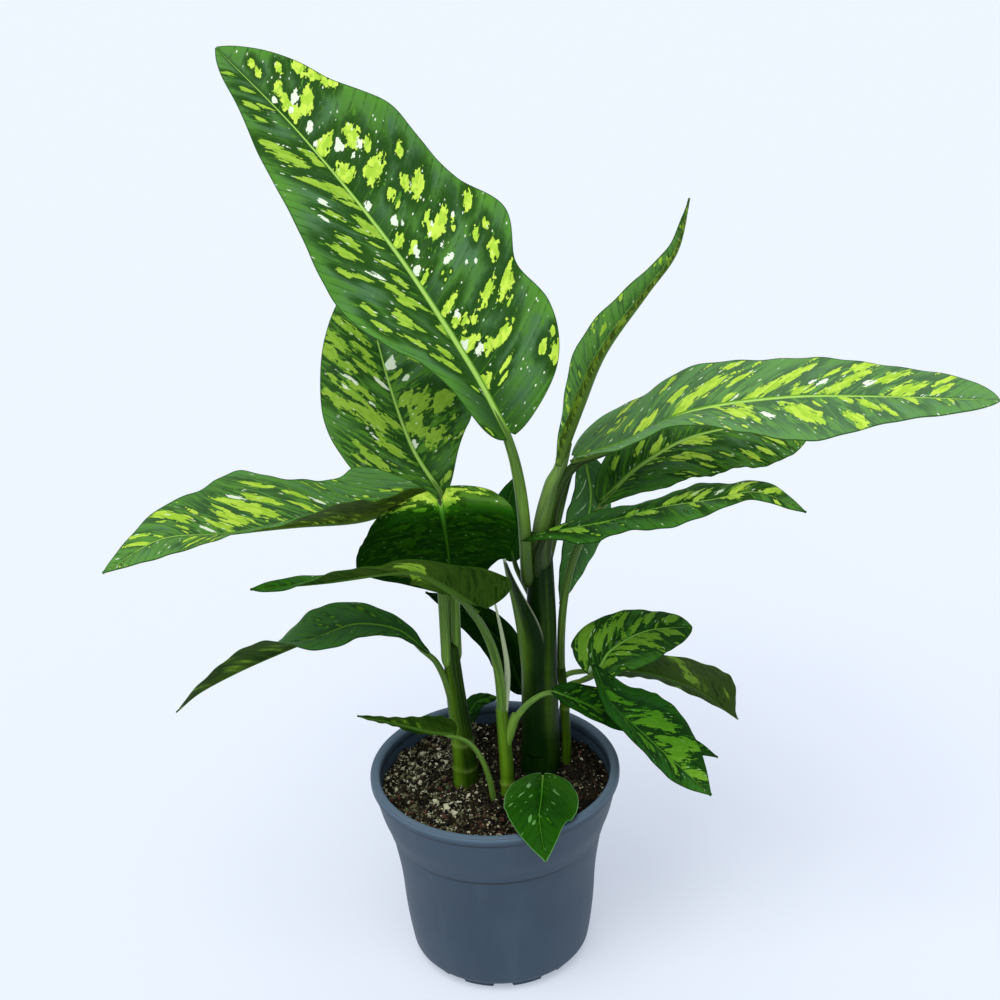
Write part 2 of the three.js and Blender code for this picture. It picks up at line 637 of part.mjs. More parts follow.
    rib: [[67, 36, 356], [70, 34, 328], [62, 30, 293], [48, 30, 253]],
    face: [[0.5, -0.7, 0.4]],
    half: 17,
    lobe: 0.03,
    left: [10, 0, 0],
    right: [10, 0, 0],
    ripple: [1, 2],
    stalk: { foot: [40, 23, 286], start: [0.3, 0.2, 1], bend: 0.8, radii: [2.6, 2.4, 2, 1.6] },
    on: 'cane_main',
  },
  leaf_back_dark: {
    size: SMALL,
    rib: [[21, 50, 174], [7, 48, 214], [-16, 44, 241], [-42, 40, 260]],
    face: [[0.3, -0.8, 0.6]],
    half: 14,
    lobe: 0.03,
    left: [10, 0, 0],
    right: [10, 0, 0],
    ripple: [1, 2],
    stalk: { foot: [30, 20, 146], start: [0, 1, 0.4], bend: 0.7, radii: [2.4, 2.2, 1.9, 1.6] },
    on: 'cane_main',
  },
  leaf_back_small: {
    size: SMALL,
    rib: [[-19, 24, 166], [-13, 24, 179], [-6, 24, 184], [5, 24, 184]],
    face: [[0, -0.5, 1]],
    half: 7,
    lobe: 0.03,
    left: [10, 0, 0],
    right: [10, 0, 0],
    ripple: [0.5, 2],
    stalk: { foot: [-10, 22, 112], bend: 0.7, radii: [1.6, 1.5, 1.3, 1.1] },
    on: 'soil',
  },
  leaf_back_centre: {
    size: SMALL,
    rib: [[18, 36, 285], [14, 38, 305], [16, 38, 326], [22, 38, 346]],
    face: [[-0.2, -0.9, 0.4]],
    half: 12,
    lobe: 0.03,
    left: [10, 0, 0],
    right: [10, 0, 0],
    ripple: [1, 2],
    stalk: { foot: [32, 22, 252], start: [-0.2, 0.6, 1], bend: 0.6, radii: [2.4, 2.2, 1.9, 1.6] },
    on: 'cane_main',
  },
};

const plastic = new THREE.MeshStandardMaterial({ color: 0x45545f, roughness: 0.5, metalness: 0 });
const earth = new THREE.MeshStandardMaterial({ color: 0x4a3a2a, roughness: 0.95, metalness: 0 });
const greenCane = new THREE.MeshStandardMaterial({ color: 0x2f5a1a, roughness: 0.45, metalness: 0 });
const greenLeaf = new THREE.MeshStandardMaterial({ color: 0x3c6b35, roughness: 0.4, metalness: 0 });

const plant = new THREE.Group();

function place(name, solid, material) {
  const mesh = new THREE.Mesh(toGeometry(solid), material);
  mesh.name = name;
  plant.add(mesh);
}

const canes = {};
const grownCanes = {};
Object.entries(CANES).forEach(([name, cane]) => {
  canes[name] = caneSolid(cane);
  grownCanes[name] = caneSolid(cane, CLEARANCE);
});

// Each stalk is trimmed round the canes and round the stalks that were placed before it.
const stalksSoFar = [];
const planted = Object.values(grownCanes);
const leaves = {};
Object.entries(LEAVES).forEach(([name, leaf]) => {
  const rib = ribOf(leaf);
  const whole = bladeSolid(leaf, rib).add(stalkSolid(leaf, rib));
  const neighbours = [...Object.values(grownCanes), ...stalksSoFar];
  leaves[name] = mainBody(neighbours.reduce((solid, other) => solid.subtract(other), whole));
  const grownStalk = stalkSolid(leaf, rib, CLEARANCE);
  stalksSoFar.push(grownStalk);
  if (leaf.on === 'soil') planted.push(grownStalk);
});

place('pot', potSolid(), plastic);
place('soil', soilSolid(planted), earth);
Object.entries(canes).forEach(([name, solid]) => place(name, solid, greenCane));
Object.entries(leaves).forEach(([name, solid]) => place(name, solid, greenLeaf));

export default plant;
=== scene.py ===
# %% [markdown]
# # A potted dieffenbachia
#
# The plant stands in a plastic nursery pot: three canes and a thin shoot, twenty leaves with yellow-green
# splashes, and a filling of crumbly potting soil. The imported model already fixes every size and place.
# This lesson gives each piece its finished surface, in the same frame, so nothing is moved afterwards.

# %% The frame
import math
from types import SimpleNamespace
import bpy
import numpy as np
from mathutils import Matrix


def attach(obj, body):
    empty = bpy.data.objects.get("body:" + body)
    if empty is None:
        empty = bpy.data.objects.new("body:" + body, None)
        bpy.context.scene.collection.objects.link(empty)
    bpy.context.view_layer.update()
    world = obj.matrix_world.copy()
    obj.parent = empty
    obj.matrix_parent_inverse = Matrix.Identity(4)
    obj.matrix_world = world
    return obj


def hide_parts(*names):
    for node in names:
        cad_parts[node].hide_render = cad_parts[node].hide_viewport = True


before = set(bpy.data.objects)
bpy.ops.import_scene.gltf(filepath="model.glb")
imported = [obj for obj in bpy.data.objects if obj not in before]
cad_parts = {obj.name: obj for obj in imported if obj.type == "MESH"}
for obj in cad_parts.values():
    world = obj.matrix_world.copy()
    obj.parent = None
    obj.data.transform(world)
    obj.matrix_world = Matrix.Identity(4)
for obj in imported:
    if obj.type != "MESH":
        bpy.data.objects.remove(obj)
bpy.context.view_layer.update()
MM = 0.001
FULL_TURN = 2 * math.pi
print("nodes in the frame:", len(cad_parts))

# %% [markdown]
# The camera comes first, so that every later choice can be judged through it. It stands 1.45 m from the
# pot's rim, in front of the plant, and looks down at about 27 degrees. A long lens keeps the leaves that
# point at the viewer from swelling. Its matrix is built from three directions, where it reaches right, up
# and back, because a small roll is easier to add there than with angles.

# %% Camera
CAMERA_PLACE = (10.5, -1204.9, 951.6)
CAMERA_DIP = math.radians(26.63)
CAMERA_ROLL = math.radians(2.2)
FOCAL_LENGTH = 2.111  # in frame widths
SENSOR_WIDTH = 36.0
FARTHEST_SEEN = 50.0  # metres


def stand(thing, right, up, back, place):
    """Links an object and turns it so that its own x, y and z point right, up and back."""
    matrix = np.eye(4)
    matrix[:3] = np.stack([right, up, back, place], -1)
    thing.matrix_world = matrix.T.tolist()
    bpy.context.scene.collection.objects.link(thing)


def add_camera():
    """Camera whose right and up directions are turned about its line of sight by the roll."""
    ahead = np.array([0, math.cos(CAMERA_DIP), -math.sin(CAMERA_DIP)])
    level = np.array([1.0, 0, 0])
    upright = np.cross(level, ahead)
    right = math.cos(CAMERA_ROLL) * level - math.sin(CAMERA_ROLL) * upright
    up = math.sin(CAMERA_ROLL) * level + math.cos(CAMERA_ROLL) * upright
    lens = bpy.data.cameras.new("camera")
    lens.sensor_width = SENSOR_WIDTH
    lens.lens = SENSOR_WIDTH * FOCAL_LENGTH
    lens.clip_end = FARTHEST_SEEN
    camera = bpy.data.objects.new("camera", lens)
    stand(camera, right, up, -ahead, np.array(CAMERA_PLACE) * MM)
    bpy.context.scene.camera = camera
    print("lens", round(lens.lens, 1), "mm")


add_camera()

# %% [markdown]
# Materials are trees of nodes. These few helpers keep each tree readable: one adds a node and fills its
# sockets, and the others name the steps that every skin below needs, such as noise, a soft threshold, or
# a mix of two colours.

# %% Node helpers


def add_node(tree, kind, inputs=(), output=0, **settings):
    """Adds a node, sets its settings, then links or fills each input, and returns one output."""
    made = tree.nodes.new(kind)
    for name, value in settings.items():
        setattr(made, name, value)
    fill(tree, made, inputs)
    return made.outputs[output]


def fill(tree, node, inputs):
    """Links a socket, or sets a value, on each named input of a node."""
    for name, value in dict(inputs).items():
        if isinstance(value, bpy.types.NodeSocket):
            tree.links.new(value, node.inputs[name])
        else:
            node.inputs[name].default_value = value


def maths(tree, operation, first, second=0.0, third=0.0):
    """One sum on up to three values; MULTIPLY_ADD is first times second plus third."""
    return add_node(tree, "ShaderNodeMath", {0: first, 1: second, 2: third}, operation=operation)


def attribute(tree, name):
    """A number that the mesh carries at its points."""
    return add_node(tree, "ShaderNodeAttribute", output="Fac", attribute_name=name)


def own_map(tree):
    """The place on the piece's own map, which follows its surface."""
    return add_node(tree, "ShaderNodeUVMap", uv_map="skin")


def object_place(tree):
    """The place in space, in metres."""
    return add_node(tree, "ShaderNodeTexCoord", output="Object")


def squeezed(tree, place, scales):
    """The place with each direction scaled on its own, so that a pattern on it gets longer one way."""
    return add_node(tree, "ShaderNodeMapping", {"Vector": place, "Scale": (*scales, 1)[:3]})


def noise(tree, place, scale, detail=3.0, roughness=0.55, warp=0.0):
    """Clouds from 0 to 1. A scale of two or three numbers squeezes the place first."""
    if isinstance(scale, tuple):
        place, scale = squeezed(tree, place, scale), 1.0
    return add_node(tree, "ShaderNodeTexNoise", {
        "Vector": place, "Scale": scale, "Detail": detail, "Roughness": roughness, "Distortion": warp})


def cells(tree, place, scales, output="Distance"):
    """Voronoi cells: the distance from a cell's middle, or the cell's own random number as its colour."""
    return add_node(tree, "ShaderNodeTexVoronoi", {"Vector": squeezed(tree, place, scales), "Scale": 1.0},
                    output=output)


def ramp(tree, value, low, high, start=0.0, end=1.0):
    """Soft step: start below low, end above high, smooth between."""
    return add_node(tree, "ShaderNodeMapRange", {
        "Value": value, "From Min": low, "From Max": high, "To Min": start, "To Max": end},
        interpolation_type="SMOOTHSTEP")


def blend(tree, amount, first, second, how="MIX"):
    """The first colour at amount 0 and the second at 1."""
    return add_node(tree, "ShaderNodeMix", {0: amount, 6: first, 7: second}, output=2,
                    data_type="RGBA", blend_type=how)


def relief(tree, height, strength, distance):
    """A bump from a height between 0 and 1, that distance high in metres."""
    return add_node(tree, "ShaderNodeBump", {"Height": height, "Strength": strength, "Distance": distance})


def colour(red, green, blue):
    """A colour read as on a screen, from 0 to 255, turned into the linear values that light needs."""
    screen = np.array([red, green, blue]) / 255
    linear = np.where(screen <= 0.04045, screen / 12.92, ((screen + 0.055) / 1.055) ** 2.4)
    return (*linear.tolist(), 1.0)


def new_material(name):
    """An empty material with its surface shader; returns the material, its tree and the shader."""
    material = bpy.data.materials.new(name)
    material.use_nodes = True
    tree = material.node_tree
    return material, tree, tree.nodes["Principled BSDF"]


def feed(tree, shader, **sockets):
    """Fills sockets of the shader; an underscore in a name stands for a space."""
    fill(tree, shader, {name.replace("_", " "): value for name, value in sockets.items()})


print("node helpers ready")

# %% [markdown]
# The studio is a wide pale floor, a pale sky that fills every shadow, and one broad sun from above, in
# front and a little to the left. A sun lights the floor evenly however wide it is, and its large angle
# makes the shadow fade softly behind the pot. The floor also glows a little of its own, as paper lit from
# behind does, so that the shadow stays pale.

# %% Studio
SKY = colour(232, 240, 255)
SKY_STRENGTH = 0.75
SUN_STRENGTH = 1.95
SUN_ANGLE = math.radians(42)
SUN_DIRECTION = (0.2, 0.42, -0.88)
SUN_DISTANCE = 3.0
FLOOR_GREY = colour(174, 177, 181)
FLOOR_GLOW = 0.46
FLOOR_SIZE = 14.0


def add_sky():
    """One even colour all around."""
    world = bpy.data.worlds.new("studio")
    world.use_nodes = True
    fill(world.node_tree, world.node_tree.nodes["Background"], {"Color": SKY, "Strength": SKY_STRENGTH})
    bpy.context.scene.world = world
    bpy.context.scene.view_settings.view_transform = "Standard"


def add_sun():
    """A sun whose back points away from the direction in which its light falls."""
    sun = bpy.data.objects.new("sun", bpy.data.lights.new("sun", "SUN"))
    sun.data.energy = SUN_STRENGTH
    sun.data.angle = SUN_ANGLE
    away = -np.array(SUN_DIRECTION) / np.linalg.norm(SUN_DIRECTION)
    side = np.cross((0, 1, 0), away)
    side /= np.linalg.norm(side)
    stand(sun, side, np.cross(away, side), away, away * SUN_DISTANCE)


def add_floor():
    """One square sheet at height zero, under the pot."""
    half = FLOOR_SIZE / 2
    corners = [(-half, -half, 0), (half, -half, 0), (half, half, 0), (-half, half, 0)]
    sheet = bpy.data.meshes.new("floor")
    sheet.from_pydata(corners, [], [(0, 1, 2, 3)])
    floor = bpy.data.objects.new("floor", sheet)
    material, tree, shader = new_material("floor")
    feed(tree, shader, Base_Color=FLOOR_GREY, Roughness=0.9, Specular_IOR_Level=0.05,
         Emission_Color=SKY, Emission_Strength=FLOOR_GLOW)
    sheet.materials.append(material)
    bpy.context.scene.collection.objects.link(floor)
    print("floor", FLOOR_SIZE, "m wide")


add_sky()
add_sun()
add_floor()

# %% [markdown]
# Every new piece is a surface: points worked out on a grid from two parameters, all at once, as numpy
# arrays. These helpers draw a smooth curve through a few values and number the faces of a grid, or of a
# thin sheet that is closed along its borders.

# %% Curves and grids


def unit(vectors):
    """Each vector divided by its length."""
    return vectors / np.maximum(np.linalg.norm(vectors, axis=-1, keepdims=True), 1e-12)


def smooth(values, t):
    """A curve through evenly spaced values. Each stretch is a cubic that leaves a value in the
    direction of the line joining its neighbours. t runs from 0 to 1."""
    values = np.asarray(values, float)
    t = np.clip(np.asarray(t, float), 0, 1)
    last = len(values) - 1
    if last == 0:
        return np.broadcast_to(values[0], t.shape + values.shape[1:]).copy()
    padded = np.concatenate([[2 * values[0] - values[1]], values, [2 * values[-1] - values[-2]]])
    first = np.minimum((t * last).astype(int), last - 1)
    f = t * last - first
    if values.ndim == 2:
        f = f[..., None]
    a, b, c, d = (padded[first + k] for k in range(4))
    return b + 0.5 * f * (c - a + f * (2 * a - 5 * b + 4 * c - d + f * (3 * (b - c) + d - a)))


def soft_step(value, low, high):
    """0 below low, 1 above high, and an even ease between."""
    x = np.clip((value - low) / (high - low), 0, 1)
    return x * x * (3 - 2 * x)


def circle(sides):
    """Evenly spaced angles of one full turn."""
    return np.arange(sides) * FULL_TURN / sides


def grid_faces(rows, columns, wrap=False):
    """Four corners for each cell of a grid of points, numbered row by row."""
    across = np.arange(columns if wrap else columns - 1)
    i, j = np.meshgrid(np.arange(rows - 1), across, indexing="ij")
    right = (j + 1) % columns
    corners = [i * columns + j, i * columns + right, (i + 1) * columns + right, (i + 1) * columns + j]
    return np.stack(corners, -1).reshape(-1, 4)


def sheet_faces(rows, columns):
    """Faces of a closed thin sheet: the grid of its front, the same grid turned over for its back, and a
    narrow wall along the four borders. The back's points follow the front's."""
    front = grid_faces(rows, columns)
    count = rows * columns
    border = np.concatenate([
        np.arange(columns), np.arange(1, rows) * columns + columns - 1,
        (rows - 1) * columns + np.arange(columns - 2, -1, -1), np.arange(rows - 2, 0, -1) * columns])
    beyond = np.roll(border, -1)
    wall = np.stack([border, border + count, beyond + count, beyond], -1)
    return np.concatenate([front, front[:, ::-1] + count, wall])


print("a sheet of 3 by 3 points has", len(sheet_faces(3, 3)), "faces")

# %% [markdown]
# A piece is made of one grid or several. It gathers them and writes them into one mesh, whole arrays at a
# time, because that is far quicker than adding faces one by one. Numbers such as the distance from the
# midrib go along as attributes that a material can read.

# %% One mesh from many grids


class Piece:
    """Collects grids of points, in millimetres, with their faces, numbers and materials, for one mesh."""

    def __init__(self, name):
        """A piece without any points yet."""
        self.name = name
        self.points, self.faces, self.uvs, self.slots, self.numbers = [], [], [], [], []
        self.count = 0

    def add(self, points, *face_groups, slot=0, uv=None, **numbers):
        """Adds points and the faces on them. uv is given per point, or per corner of the faces."""
        points = np.asarray(points, float).reshape(-1, 3)
        for faces in face_groups:
            corners = np.zeros((faces.size, 2)) if uv is None else np.asarray(uv, float).reshape(-1, 2)
            if len(corners) == len(points):
                corners = corners[faces.reshape(-1)]
            self.faces.append(faces + self.count)
            self.uvs.append(corners)
            self.slots.append(np.full(len(faces), slot))
        self.points.append(points)
        self.numbers.append((len(points), numbers))
        self.count += len(points)

    def number(self, name):
        """One attribute's values at all points, 0 where a grid doesn't have it."""
        parts = []
        for count, numbers in self.numbers:
            value = np.asarray(numbers.get(name, 0.0))
            parts.append(np.broadcast_to(value, value.shape or (count,)).reshape(-1))
        return np.concatenate(parts)

    def finish(self, materials, node, is_smooth=True):
        """Writes the mesh, links the object to the root body, and hides the frame's node that it replaces.
        """
        mesh = bpy.data.meshes.new(self.name)
        points = np.concatenate(self.points) * MM
        sizes = np.concatenate([np.full(len(f), f.shape[1]) for f in self.faces])
        corners = np.concatenate([f.reshape(-1) for f in self.faces])
        mesh.vertices.add(len(points))
        mesh.vertices.foreach_set("co", points.reshape(-1))
        mesh.loops.add(len(corners))
        mesh.loops.foreach_set("vertex_index", corners)
        mesh.polygons.add(len(sizes))
        mesh.polygons.foreach_set("loop_start", np.concatenate([[0], np.cumsum(sizes)[:-1]]))
        mesh.polygons.foreach_set("material_index", np.concatenate(self.slots))
        mesh.update(calc_edges=True)
        mesh.polygons.foreach_set("use_smooth", np.full(len(sizes), is_smooth))
        layer = mesh.uv_layers.new(name="skin")
        layer.data.foreach_set("uv", np.concatenate(self.uvs).reshape(-1))
        for name in sorted({name for _, numbers in self.numbers for name in numbers}):
            layer = mesh.attributes.new(name, "FLOAT", "POINT")
            layer.data.foreach_set("value", self.number(name))
        for material in materials:
            mesh.materials.append(material)
        mesh.validate()
        piece = bpy.data.objects.new(self.name, mesh)
        bpy.context.scene.collection.objects.link(piece)
        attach(piece, "root")
        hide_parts(node)
        print(self.name, len(points), "points", len(sizes), "faces")


print("piece helper ready")

# %% [markdown]
# Stalks and canes are tubes: rings of points carried along a path. Each ring stands square to the path
# and is turned as little as possible against the one before, so that the tube doesn't twist. Both ends
# are closed.

# %% Tubes


def tube_rings(centres, radii, sides, start=(0, 1, 0)):
    """Rings of points round a path. The first ring's zero angle is square to the path and to start,
    and each next ring keeps that direction as nearly as the path allows."""
    forward = unit(np.gradient(centres, axis=0))
    across = np.empty_like(centres)
    across[0] = unit(np.cross(start, forward[0]))
    for i in range(1, len(centres)):
        across[i] = unit(across[i - 1] - np.dot(across[i - 1], forward[i]) * forward[i])
    other = np.cross(forward, across)
    angle = circle(sides)
    radii = np.broadcast_to(np.asarray(radii, float).reshape(len(centres), -1), (len(centres), sides))
    ring = across[:, None] * np.cos(angle)[None, :, None] + other[:, None] * np.sin(angle)[None, :, None]
    return centres[:, None] + ring * radii[..., None]


def capped(rings):
    """A closed tube: the points of its rings and the middle of each end, its wall, and the end fans."""
    rows, sides = rings.shape[:2]
    wall = grid_faces(rows, sides, wrap=True)
    ends = np.stack([rings[0].mean(0), rings[-1].mean(0)])
    points = np.concatenate([rings.reshape(-1, 3), ends])
    k = np.arange(sides)
    low = np.stack([np.full(sides, rows * sides), (k + 1) % sides, k], -1)
    top = (rows - 1) * sides
    high = np.stack([np.full(sides, rows * sides + 1), top + k, top + (k + 1) % sides], -1)
    return points, wall, np.concatenate([low, high])


print("tube helpers ready")
